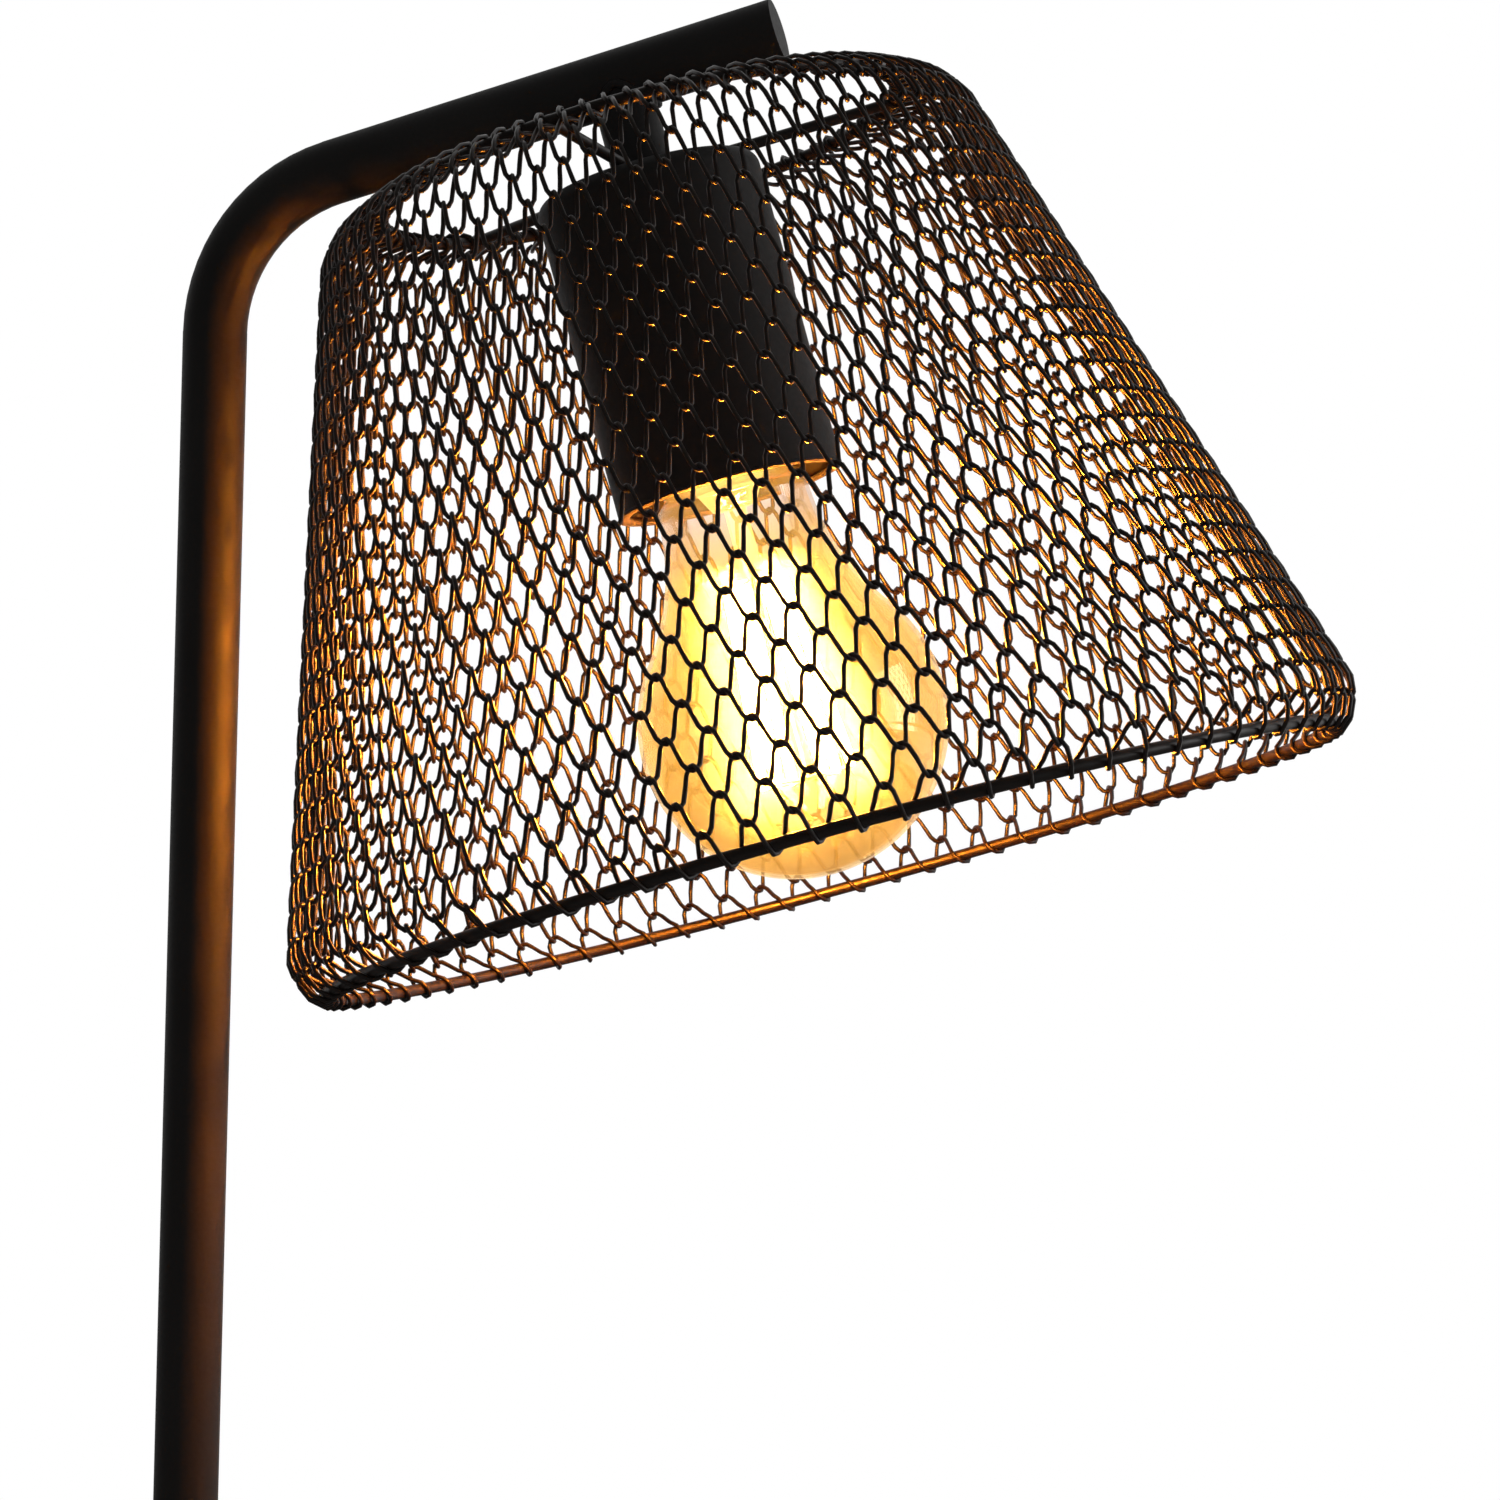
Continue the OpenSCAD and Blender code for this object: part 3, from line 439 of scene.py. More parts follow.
@dataclass(frozen=True)
class BlownGlass:
    """Blown glass with a thin tint: it colours what is behind it and mirrors only near its edges.

    A faint haze spreads the lit sticks into a glow, as the coat and dust on a real bulb do, and an even
    emission adds painted light in place of more of that scattered light.
    """

    name: str
    # Colour of white light past as many surfaces as a ray through the whole bulb crosses
    tint: str
    # The same by the cap, where the amber coat thins out
    bare: str
    # Painted light that the glass sends out evenly, in place of the sticks' light that it scatters, and
    # its colour
    glow: float
    glow_colour: str = "#ffd777"
    # Share of the light that a coat blurs, and share that it scatters all round, with the colours
    haze: float = 0.0
    haze_colour: str = "#aad7ff"
    haze_roughness: float = 0.5
    scatter: float = 0.0
    scatter_colour: str = "#bcedff"
    surfaces: int = 4
    ior: float = 1.45
    # Share of the full mirror that shows, and its roughness
    mirror: float = 0.5
    mirror_roughness: float = 0.04
    # The coat thins out over these distances along the bulb's axis from the lamp's origin
    axis: Triple = (0.287361, 0.0, -0.957822)
    coat_mm: Pair = (-331.0, -306.0)
    # Spread of the coat's stains, and the share of the tint that they let through
    stain_mm: float = 16.0
    stain: float = 0.975

    def material(self) -> bpy.types.Material:
        """Builds the glass from a clear tint, its mirror, a blur, a scatter and a glow.

        Returns:
            The new material.
        """
        skin = Skin(self.name)
        skin.tree.nodes.remove(skin.shader)
        clear = skin.add("ShaderNodeBsdfTransparent", {"Color": self.coat(skin)})
        mirror = skin.add("ShaderNodeBsdfGlossy", {"Color": WHITE, "Roughness": self.mirror_roughness})
        edge = skin.add("ShaderNodeFresnel", {"IOR": self.ior})
        share = skin.add("ShaderNodeMath", {0: edge.outputs[0], 1: self.mirror}, operation="MULTIPLY")
        layers = {0: share.outputs[0], 1: clear.outputs[0], 2: mirror.outputs[0]}
        shell = skin.add("ShaderNodeMixShader", layers)
        if self.haze > 0:
            blurred = {"Color": linear(self.haze_colour), "Roughness": self.haze_roughness}
            blur = skin.add("ShaderNodeBsdfRefraction", {**blurred, "IOR": self.ior})
            layers = {0: self.haze, 1: shell.outputs[0], 2: blur.outputs[0]}
            shell = skin.add("ShaderNodeMixShader", layers)
        if self.scatter > 0:
            spread = skin.add("ShaderNodeBsdfTranslucent", {"Color": linear(self.scatter_colour)})
            layers = {0: self.scatter, 1: shell.outputs[0], 2: spread.outputs[0]}
            shell = skin.add("ShaderNodeMixShader", layers)
        # Painted light: an even emission in place of the sticks' light that the glass scatters
        lit = skin.add("ShaderNodeEmission", {"Color": linear(self.glow_colour), "Strength": self.glow})
        skin.show(skin.add("ShaderNodeAddShader", {0: shell.outputs[0], 1: lit.outputs[0]}))
        return skin.material

    def coat(self, skin: Skin) -> bpy.types.NodeSocket:
        """Adds the tint, stained in the globe and bare by the cap.

        With n surfaces, each passes the nth root of the whole colour.

        Args:
            skin: The material to add it to.

        Returns:
            The colour that one surface lets through.
        """
        along = skin.add("ShaderNodeVectorMath", {0: skin.place, 1: self.axis}, operation="DOT_PRODUCT")
        start, end = (distance * MM for distance in self.coat_mm)
        span = {"Value": along.outputs["Value"], "From Min": start, "From Max": end}
        coat = skin.add("ShaderNodeMapRange", span, interpolation_type="SMOOTHSTEP")
        stain = skin.add("ShaderNodeTexNoise", skin.sized(self.stain_mm, Detail=3.0))
        colours = (linear(self.tint), linear(self.bare))
        tint, bare = (tuple(c ** (1 / self.surfaces) for c in whole) for whole in colours)
        deep = (*(self.stain * c for c in tint[:3]), 1.0)
        tones = {0: stain.outputs[0], 6: tint, 7: deep}
        tone = skin.add("ShaderNodeMix", tones, data_type="RGBA")
        tones = {0: coat.outputs[0], 6: bare, 7: tone.outputs[2]}
        return skin.add("ShaderNodeMix", tones, data_type="RGBA").outputs[2]


@dataclass(frozen=True)
class GlowingPhosphor:
    """Silicone with yellow phosphor over a row of light chips: too bright to see its surface."""

    name: str = "lit_phosphor_silicone"
    tones: tuple[str, str] = ("#ffcf6a", "#ffe2a0")
    light: str = "#ff9e34"
    strength: float = 1700.0
    # Shares of that strength between the chips and over them
    swing: Pair = (0.8, 1.2)
    # Spacing of the chips under the silicone
    chip_mm: float = 1.4

    def material(self) -> bpy.types.Material:
        """Builds the stick: a yellow coat that glows in close spots.

        Returns:
            The new material.
        """
        skin = Skin(self.name)
        chip = skin.add("ShaderNodeTexNoise", skin.sized(self.chip_mm, Detail=1.0)).outputs[0]
        dark, pale = (linear(tone) for tone in self.tones)
        tone = skin.add("ShaderNodeMix", {0: chip, 6: dark, 7: pale}, data_type="RGBA")
        low, high = (share * self.strength for share in self.swing)
        power = skin.add("ShaderNodeMapRange", {"Value": chip, "To Min": low, "To Max": high})
        skin.set(Base_Color=tone.outputs[2], Roughness=0.5)
        skin.set(Emission_Color=linear(self.light), Emission_Strength=power.outputs[0])
        return skin.material


@dataclass(frozen=True)
class CircuitBoard:
    """Glass-fibre board under green lacquer: a faint weave and an even gloss."""

    name: str = "lacquered_fibre_board"
    tones: tuple[str, str] = ("#1d3827", "#24452f")
    weave_mm: float = 0.8
    weave_depth: Pair = (0.2, 0.03)

    def material(self) -> bpy.types.Material:
        """Builds the board from the weave under its lacquer.

        Returns:
            The new material.
        """
        skin = Skin(self.name)
        weave = skin.add("ShaderNodeTexChecker", skin.sized(self.weave_mm, Color1=WHITE, Color2=BLACK))
        skin.colour_and_relief(weave, self.tones, weave, self.weave_depth)
        skin.set(Roughness=0.35)
        return skin.material


class Finishes:
    """All materials of the lamp, one for each slot of the record, and one for the wire."""

    def __init__(self) -> None:
        """Builds every material once."""
        finishes: dict[Slot, Finish] = {
            Slot.BLACK_STEEL: PowderCoat(),
            Slot.GREY_IRON: SandCastIron(),
            Slot.ZINC_STEEL: BareMetal(
                "zinc_plated_steel", ("#9fa5ab", "#c9ccce"), (0.28, 0.42), cloud_mm=6.0, mark_mm=0.5
            ),
            Slot.SOFT_PAD: FoamPad(),
            Slot.BLACK_PLASTIC: MouldedPlastic("moulded_nylon", ("#141414", "#202020"), roughness=0.5),
            Slot.LEAD_SHEATH: MouldedPlastic(
                "silicone_sheath", ("#1a1714", "#26221d"), 0.42, grain_mm=1.2, grain_depth=(0.6, 0.01)
            ),
            Slot.BRASS: BareMetal(
                "rolled_brass", ("#b58a3c", "#d9b566"), (0.22, 0.36), cloud_mm=5.0, mark_mm=0.5
            ),
            Slot.DARK_PHENOLIC: MouldedPlastic(
                "pressed_phenolic", ("#6e4f33", "#7d5c3e"), 0.34, grain_mm=1.6, grain_depth=(0.6, 0.015)
            ),
            Slot.WHITE_CERAMIC: Steatite(),
            Slot.SOLDER: BareMetal(
                "tinned_solder", ("#a3a5a6", "#c6c7c6"), (0.4, 0.6), cloud_mm=2.0, mark_mm=1.0
            ),
            Slot.BLACK_GLASS: BlackGlass(),
            Slot.NICKEL_CAP: BareMetal(
                "nickel_plated_cap", ("#b9b3a6", "#dcd7cc"), (0.16, 0.28), cloud_mm=5.0, mark_mm=0.6
            ),
            Slot.AMBER_GLASS: BlownGlass(
                "amber_blown_glass",
                tint="#e2b372",
                bare="#e5d8e0",
                glow=0.07,
                glow_colour="#ffb94c",
                haze=0.03,
                scatter=0.0022,
            ),
            # The glass stem's glow is painted light, in place of the sticks' light that the glass mount
            # catches
            Slot.CLEAR_GLASS: BlownGlass("clear_drawn_glass", tint="#f8f6f2", bare="#f8f6f2", glow=0.5),
            Slot.LIGHT_STICK: GlowingPhosphor(),
            Slot.CIRCUIT_BOARD: CircuitBoard(),
        }
        self.wire = LacqueredWire().material()
        self.by_slot = {slot: finish.material() for slot, finish in finishes.items()}


def around(count: int) -> np.ndarray:
    """Angles evenly spaced round a full turn, the first of them 0."""
    return np.linspace(0, 2 * math.pi, count, endpoint=False)


def eased(share: np.ndarray) -> np.ndarray:
    """A smooth step: three times the square of a share from 0 to 1, less twice its cube."""
    return share * share * (3 - 2 * share)


def turned(radius: np.ndarray | float, depth: np.ndarray, angle: np.ndarray) -> np.ndarray:
    """Points round the head's axis.

    Each is the radius times the cosine and the sine of its angle, and the depth counts down.

    Args:
        radius: Distances from the axis.
        depth: Depths below the arm's axis.
        angle: Angles round the axis.

    Returns:
        The points, in the common shape of the three.
    """
    parts = np.broadcast_arrays(radius * np.cos(angle), radius * np.sin(angle), -depth)
    return np.stack(parts, axis=-1)


def grid_faces(rows: int, columns: int, wrap_rows: bool) -> np.ndarray:
    """Four-cornered faces of a grid whose points are numbered row by row.

    Each face takes a point, its neighbour along the row, that one's neighbour in the next row and
    the point below the first. Each row closes on itself.

    Args:
        rows: Number of rows of points.
        columns: Number of points in a row.
        wrap_rows: True where the last row joins the first.

    Returns:
        One row of four point numbers for each face.
    """
    i = np.arange(rows if wrap_rows else rows - 1)[:, None]
    j = np.arange(columns)[None, :]
    here, below, beside = i * columns, (i + 1) % rows * columns, (j + 1) % columns
    corners = np.broadcast_arrays(here + j, here + beside, below + beside, below + j)
    return np.stack(corners, axis=-1).reshape(-1, 4)


def closed_surface(points: np.ndarray, wrap_rows: bool) -> tuple[np.ndarray, list[list[int]]]:
    """Faces of a grid that closes round each row, with its poles merged and its faces outward.

    Points that coincide become one, a face that loses a corner there becomes a triangle, and the
    order is turned if the sum of the corner products, six times the volume, is negative.

    Args:
        points: Rows by columns by three.
        wrap_rows: True where the last row joins the first.

    Returns:
        The points that are left, and the faces.
    """
    rows, columns = points.shape[:2]
    faces = grid_faces(rows, columns, wrap_rows)
    flat = points.reshape(-1, 3)
    _, first, back = np.unique(np.round(flat, 5), axis=0, return_index=True, return_inverse=True)
    flat, faces = flat[first], back.reshape(-1)[faces]
    volume = np.sum(flat[faces[:, 0]] * np.cross(flat[faces[:, 1]], flat[faces[:, 2]]))
    volume += np.sum(flat[faces[:, 0]] * np.cross(flat[faces[:, 2]], flat[faces[:, 3]]))
    if volume < 0:
        faces = faces[:, ::-1]
    same = faces == np.roll(faces, -1, axis=1)
    whole = faces[~same.any(axis=1)].tolist()
    for k in range(4):
        one = same[:, k] & (same.sum(axis=1) == 1)
        whole += np.delete(faces[one], k, axis=1).tolist()
    return flat, whole


def lathe(profile: np.ndarray, steps: int) -> tuple[np.ndarray, list[list[int]]]:
    """Turns a closed profile round the head's axis: each point goes round a circle.

    Args:
        profile: Radius and depth of each point.
        steps: Points round each circle.

    Returns:
        The points in the head frame, and the faces.
    """
    return closed_surface(turned(profile[:, 0:1], profile[:, 1:2], around(steps)), True)


def thin_sheet(
    radius: np.ndarray, depth: np.ndarray, turn: np.ndarray, thickness: float
) -> tuple[np.ndarray, list[list[int]]]:
    """A thin closed sheet round the head's axis: a face at the radius, and one a thickness out.

    Args:
        radius: The first face's radius, by row and column.
        depth: Depths, by row.
        turn: Angles round the axis, by column.
        thickness: The sheet's thickness, or less than 0 where the second face lies further in.

    Returns:
        The points in the head frame, and the faces.
    """
    faces = [turned(radius, depth, turn), turned(radius + thickness, depth, turn)[::-1]]
    return closed_surface(np.concatenate(faces), True)


def thread_wave(
    depth: np.ndarray, turn: np.ndarray, pitch: float, start: float, end: float
) -> np.ndarray:
    """Height of a rolled round thread, from 0 in its valleys to 1 on its crests.

    A right-hand thread is a cosine of the distance down, plus the angle, over one pitch. Smooth
    steps over one pitch bring it up at its start and down to its end.

    Args:
        depth: Depths, by row.
        turn: Angles round the axis, by column.
        pitch: The thread's pitch.
        start: Depth where it begins.
        end: Depth where it ends.

    Returns:
        The height for each depth and angle.
    """
    wave = 0.5 + 0.5 * np.cos(2 * math.pi * depth / pitch + turn)
    rise = np.clip((depth - start) / pitch, 0, 1)
    fall = np.clip((end - depth) / pitch, 0, 1)
    return wave * eased(rise) * eased(fall)


def closed_wire(path: np.ndarray, away: np.ndarray, radius: float, sides: int) -> np.ndarray:
    """Round wire along a closed path, mitred at each of its points.

    A section lies square to the mean of the two legs that meet there. Its points go round by the
    cosine along the part of `away` that is square to that mean and the sine across it, and they
    are drawn out along the bend by one over the cosine of half the turn, which keeps the wire's
    thickness.

    Args:
        path: Points of the path's middle line.
        away: A direction for each point that the section starts from.
        radius: The wire's radius.
        sides: Points round a section.

    Returns:
        Path points by sides by three.
    """

    def unit(v: np.ndarray) -> np.ndarray:
        """Vectors of length one, with a length of zero left as it is."""
        return v / np.maximum(np.linalg.norm(v, axis=1, keepdims=True), 1e-9)

    leaving = unit(np.roll(path, -1, axis=0) - path)
    coming = np.roll(leaving, 1, axis=0)
    along = unit(leaving + coming)
    up = unit(away - np.sum(away * along, axis=1, keepdims=True) * along)
    across = np.cross(along, up)
    turn = around(sides)[None, :, None]
    offset = radius * (np.cos(turn) * up[:, None] + np.sin(turn) * across[:, None])
    bend = unit(leaving - coming)[:, None]
    half = np.linalg.norm(leaving + coming, axis=1)[:, None, None] / 2
    drawn = np.sum(offset * bend, axis=2, keepdims=True) * (1 / half - 1)
    return path[:, None] + offset + drawn * bend


@dataclass(frozen=True)
class HeadFrame:
    """The frame that the neck, shade, lampholder and bulb share."""

    bend_height: float = 405.0
    bend_radius: float = 33.0
    arm_rise: float = 16.7
    neck_along: float = 60.0

    def place(self, points: np.ndarray) -> np.ndarray:
        """Carries points of the head frame to the lamp's frame.

        The frame is moved out along the arm and up by the bend's radius, turned up by the arm's
        rise about y, and lifted to the bend's centre. Millimetres become metres.

        Args:
            points: Points in millimetres, z up from the arm's axis.

        Returns:
            The points in metres.
        """
        rise = math.radians(self.arm_rise)
        x = points[..., 0] + self.neck_along
        z = points[..., 2] + self.bend_radius
        across = self.bend_radius + x * math.cos(rise) - z * math.sin(rise)
        height = self.bend_height + x * math.sin(rise) + z * math.cos(rise)
        return MM * np.stack([across, points[..., 1], height], axis=-1)


@dataclass
class SubAssembly:
    """Pieces that are worked out in the head frame and share the lamp's finishes."""

    head: HeadFrame
    finishes: Finishes

    def make_piece(
        self,
        name: str,
        points: np.ndarray,
        faces: list[list[int]],
        body: Body,
        slot: Slot,
        nodes: tuple[str, ...] = (),
        finish: bpy.types.Material | None = None,
    ) -> None:
        """Puts computed points and faces into a smooth mesh piece that rides on a body.

        Args:
            name: The piece's name.
            points: Points in millimetres, in the head frame.
            faces: The corners of each face.
            body: The body it rides on.
            slot: The record's slot that the finish stands for.
            nodes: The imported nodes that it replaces.
            finish: The piece's finish, where it isn't the slot's own.
        """
        mesh = bpy.data.meshes.new(name)
        mesh.from_pydata(self.head.place(points), [], faces)
        mesh.polygons.foreach_set("use_smooth", np.ones(len(mesh.polygons), dtype=bool))
        mesh.materials.append(finish or self.finishes.by_slot[slot])
        mesh.update()
        piece = bpy.data.objects.new(name, mesh)
        bpy.context.scene.collection.objects.link(piece)
        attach(piece, body.value)
        if nodes:
            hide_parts(*nodes)
        LOG.info("%s: %d faces on %s", name, len(faces), body.value)


@dataclass
class MeshShade(SubAssembly):
    """The knitted mesh between the two rings, and the small welds of the spider's arms.

    Each course is one wire, a flattened coil whose outer legs lean one way and whose inner legs
    lean the other. Its bends hook through those of the next course, and the first and the last
    course wrap the rings.
    """

    top_radius: float = 52.5
    ring_depth: float = 15.5
    height: float = 142.5
    bottom_radius: float = 100.0
    shoulder: float = 13.0
    hem: float = 8.0
    hem_turn: float = 60.0
    wire: float = 0.46
    sides: int = 6
    loops: int = 81
    # How far a bend reaches past the line where two courses meet
    hook_reach: float = 0.46
    # Distance of a leg from the mesh's middle surface, and from it where a course wraps a ring
    leg_out: float = 1.05
    wrap_out: float = 1.9
    # How far a wrap reaches past the ring's line, and the length over which it widens the legs
    wrap_reach: float = 1.82
    wrap_fade: float = 2.6
    # How much a bend bulges sideways, which straightens the legs
    bulge: float = 0.22
    # How squarely the legs turn into the bends
    squareness: float = 1.2
    # The knit drifts round by this much from one course to the next
    drift: float = 0.3
    courses_in_piece: tuple[int, ...] = (3, 2, 2, 2, 2, 1, 2, 2, 2, 2, 2, 2, 2)
    # Places round one loop, closer together at its bends
    loop_points: tuple[int, ...] = (0, 22, 50, 90, 130, 158, 180, 202, 230, 270, 310, 338)
    # The spider's arms, and the angle of the first
    arms: int = 3
    first_arm: float = 24.5
    # A weld's radius, its length as a share of that, and where it sits off the ring's middle line
    weld: float = 1.75
    weld_stretch: float = 1.35
    weld_inset: float = 0.4
    weld_drop: float = 0.3
    # Waves round a weld, and their height as a share of its radius
    weld_waves: int = 3
    weld_swell: float = 0.06

    def __post_init__(self) -> None:
        """Works out the arcs of the shade's outline and its length from ring to ring."""
        self.turn = math.radians(self.hem_turn)
        self.shoulder_centre = (self.top_radius, self.ring_depth + self.shoulder)
        self.hem_centre = (
            self.bottom_radius - self.hem * math.cos(self.turn),
            self.ring_depth + self.height - self.hem * math.sin(self.turn),
        )
        across = self.hem_centre[0] - self.shoulder_centre[0]
        down = self.hem_centre[1] - self.shoulder_centre[1]
        gap = math.hypot(across, down)
        self.lean = math.atan2(across, down) - math.asin((self.shoulder - self.hem) / gap)
        self.shoulder_length = self.shoulder * (math.pi / 2 - self.lean)
        self.side_length = math.sqrt(gap**2 - (self.shoulder - self.hem) ** 2)
        hem_length = self.hem * (self.lean + self.turn)
        self.length = self.shoulder_length + self.side_length + hem_length

    def middle(self, s: np.ndarray) -> tuple[np.ndarray, np.ndarray, np.ndarray]:
        """The mesh's middle surface at a length along it from the top ring.

        A short level run, the shoulder's arc, the straight side, the hem's arc and a straight run
        past it follow each other, each starting where the one before ends.

        Args:
            s: Lengths along the mesh.

        Returns:
            Radius, depth, and the angle of the outward normal below level.
        """
        side = s - self.shoulder_length
        hem = side - self.side_length
        past = np.maximum(s - self.length, 0)
        before = np.minimum(s, 0)
        angle = np.clip(s, 0, None) / self.shoulder - math.pi / 2
        angle = np.where(side > 0, -self.lean, angle)
        angle = np.where(hem > 0, np.minimum(hem / self.hem - self.lean, self.turn), angle)
        run = np.clip(side, 0, self.side_length)
        arc_radius = self.shoulder_centre[0] + run * math.sin(self.lean)
        arc_depth = self.shoulder_centre[1] + run * math.cos(self.lean)
        centre_radius = np.where(hem > 0, self.hem_centre[0], arc_radius)
        centre_depth = np.where(hem > 0, self.hem_centre[1], arc_depth)
        reach = np.where(hem > 0, self.hem, self.shoulder)
        radius = centre_radius + reach * np.cos(angle) + before - past * math.sin(self.turn)
        depth = centre_depth + reach * np.sin(angle) + past * math.cos(self.turn)
        return radius, depth, angle

    def course(self, k: int) -> np.ndarray:
        """One course as a round wire.

        With p going once round each loop, the length along the mesh swings by minus the cosine of
        p, the distance out by a squared-off sine of p, and the angle grows with p plus a sine of
        twice p that bulges the bends. A section starts from the way out of the coil's core, the
        surface's normal times the sine of p less the way down the mesh times its cosine.

        Args:
            k: The course, from the top.

        Returns:
            Points of the wire's skin in the head frame.
        """
        courses = sum(self.courses_in_piece)
        pitch = self.length / courses
        last = k == courses - 1
        top = -self.wrap_reach if k == 0 else k * pitch - self.hook_reach
        end = self.length + self.wrap_reach if last else (k + 1) * pitch + self.hook_reach
        p = np.radians(self.loop_points)[None, :] + 2 * math.pi * np.arange(self.loops)[:, None]
        p = p.reshape(-1)
        s = (top + end) / 2 - (end - top) / 2 * np.cos(p)
        radius, depth, normal = self.middle(s)
        ring_gap = np.minimum(np.abs(s), np.abs(s - self.length))
        wrap = np.exp(-((ring_gap / self.wrap_fade) ** 2))
        out = self.leg_out + (self.wrap_out - self.leg_out) * wrap
        out = out * np.tanh(self.squareness * np.sin(p)) / math.tanh(self.squareness)
        step = 2 * math.pi / self.loops
        start = math.radians(self.first_arm) + step * (k + 1) / 2 - k * self.drift / np.mean(radius)
        angle = start + step * p / (2 * math.pi) + self.bulge / radius * np.sin(2 * p)
        path = turned(radius + out * np.cos(normal), depth + out * np.sin(normal), angle)
        away_out = np.cos(normal) * np.sin(p) + np.sin(normal) * np.cos(p)
        away_down = np.sin(normal) * np.sin(p) - np.cos(normal) * np.cos(p)
        return closed_wire(path, turned(away_out, away_down, angle), self.wire, self.sides)

    def build(self) -> None:
        """Builds the courses, a few to a piece, and the welds."""
        first = 0
        for number, count in enumerate(self.courses_in_piece, start=1):
            skins = np.concatenate([self.course(k) for k in range(first, first + count)])
            rows = len(skins) // count
            one = grid_faces(rows, self.sides, True)
            faces = np.concatenate([one + i * rows * self.sides for i in range(count)])
            self.make_piece(
                f"knitted_mesh_{number:02d}",
                skins.reshape(-1, 3),
                faces.tolist(),
                Body.LAMP,
                Slot.BLACK_STEEL,
                (f"mesh_course_{number:02d}",),
                self.finishes.wire,
            )
            first += count
        self.build_arm_welds()

    def build_arm_welds(self) -> None:
        """Builds a blob of weld where each spider arm meets the top ring.

        A blob is a ball with a radius that swells by a few slow waves round it, drawn out along
        the ring.
        """
        polar = np.linspace(0, math.pi, 9)[:, None]
        turn = around(16)[None, :]
        swell = np.sin(self.weld_waves * turn) * np.sin(polar) ** 2
        size = self.weld * (1 + self.weld_swell * swell)
        along = self.weld_stretch * size * np.cos(polar)
        radius = self.top_radius + (-self.weld_inset + size * np.sin(polar) * np.cos(turn))
        height = -self.weld_drop + size * np.sin(polar) * np.sin(turn) - self.ring_depth
        for i in range(self.arms):
            arm = math.radians(self.first_arm + 360 / self.arms * i)
            x = radius * math.cos(arm) - along * math.sin(arm)
            y = radius * math.sin(arm) + along * math.cos(arm)
            flat, faces = closed_surface(np.stack([x, y, height], axis=-1), False)
            name = f"arm_weld_{i + 1}"
            wire = self.finishes.wire
            self.make_piece(name, flat, faces, Body.LAMP, Slot.BLACK_STEEL, finish=wire)


@dataclass
class Neck(SubAssembly):
    """The weld bead where the neck's tube meets the arm."""

    neck_radius: float = 6.0
    arm_radius: float = 6.35
    bead: float = 0.8
    # The bead's middle stands this far out from the neck, and this far below the line
    bead_out: float = 0.25
    bead_below: float = 0.1
    # The line is drawn in at the neck's sides, where the two tubes run side by side
    side_share: float = 0.995
    side_gap: float = 0.15
    # Ripples left by the welder, and their height as a share of the bead's radius
    ripples: int = 30
    ripple_height: float = 0.08

    def build(self) -> None:
        """Builds the bead along the line where the two tubes cross.

        Round the neck's axis, the line lies below the arm's axis by the root of the square of the
        arm's radius less the square of the distance to the side.
        """
        turn = around(96)
        radius = self.neck_radius + self.bead_out
        side = radius * np.sin(turn)
        aside = self.side_share * side * self.arm_radius / (radius + self.side_gap)
        path = turned(radius, np.sqrt(self.arm_radius**2 - aside**2) + self.bead_below, turn)
        away = turned(1.0, np.zeros_like(turn), turn)
        ripple = 1 + self.ripple_height * np.sin(self.ripples * turn)[:, None, None]
        bead = closed_wire(path, away, self.bead, sides=10)
        skin = path[:, None] + (bead - path[:, None]) * ripple
        flat, faces = closed_surface(skin, True)
        self.make_piece("neck_weld_bead", flat, faces, Body.LAMP, Slot.BLACK_STEEL)


@dataclass
class Lampholder(SubAssembly):
    """The brass shell that the bulb screws into, and the rolled rim of the cup round it."""

    bore: float = 13.4
    sheet: float = 0.4
    top: float = 53.5
    end: float = 75.5
    pitch: float = 3.629
    thread_height: float = 0.8
    # How far the sheet stands outside the bore between the threads
    bore_gap: float = 0.15
    # How far below the shell's top, and above its end, the thread stops
    thread_inset: Pair = (1.0, 0.5)
    # Middle and half sizes of the section of the cup's rim
    rim: Pair = (21.2, 83.3)
    rim_half: Pair = (1.15, 0.65)

    def build(self) -> None:
        """Builds the shell and the rim."""
        self.build_shell()
        self.build_rim()

    def build_shell(self) -> None:
        """Builds the shell with its rolled thread, as a thin closed sheet.

        The inner face stands a little outside the bore, and further out by the thread's height
        times its wave. The outer face lies one sheet further out.
        """
        depth = np.linspace(self.top, self.end, 96)[:, None]
        turn = around(96)[None, :]
        start, end = self.top + self.thread_inset[0], self.end - self.thread_inset[1]
        wave = thread_wave(depth, turn, self.pitch, start, end)
        radius = self.bore + self.bore_gap + self.thread_height * wave
        flat, faces = thin_sheet(radius, depth, turn, self.sheet)
        self.make_piece("threaded_shell", flat, faces, Body.LAMP, Slot.BRASS, ("screw_shell",))

    def build_rim(self) -> None:
        """Builds the cup's rolled rim: an ellipse turned round the head's axis."""
        turn = around(16)
        radius = self.rim[0] + self.rim_half[0] * np.cos(turn)
        depth = self.rim[1] + self.rim_half[1] * np.sin(turn)
        flat, faces = lathe(np.stack([radius, depth], axis=-1), 96)
        self.make_piece("cup_rolled_rim", flat, faces, Body.LAMP, Slot.BLACK_STEEL)


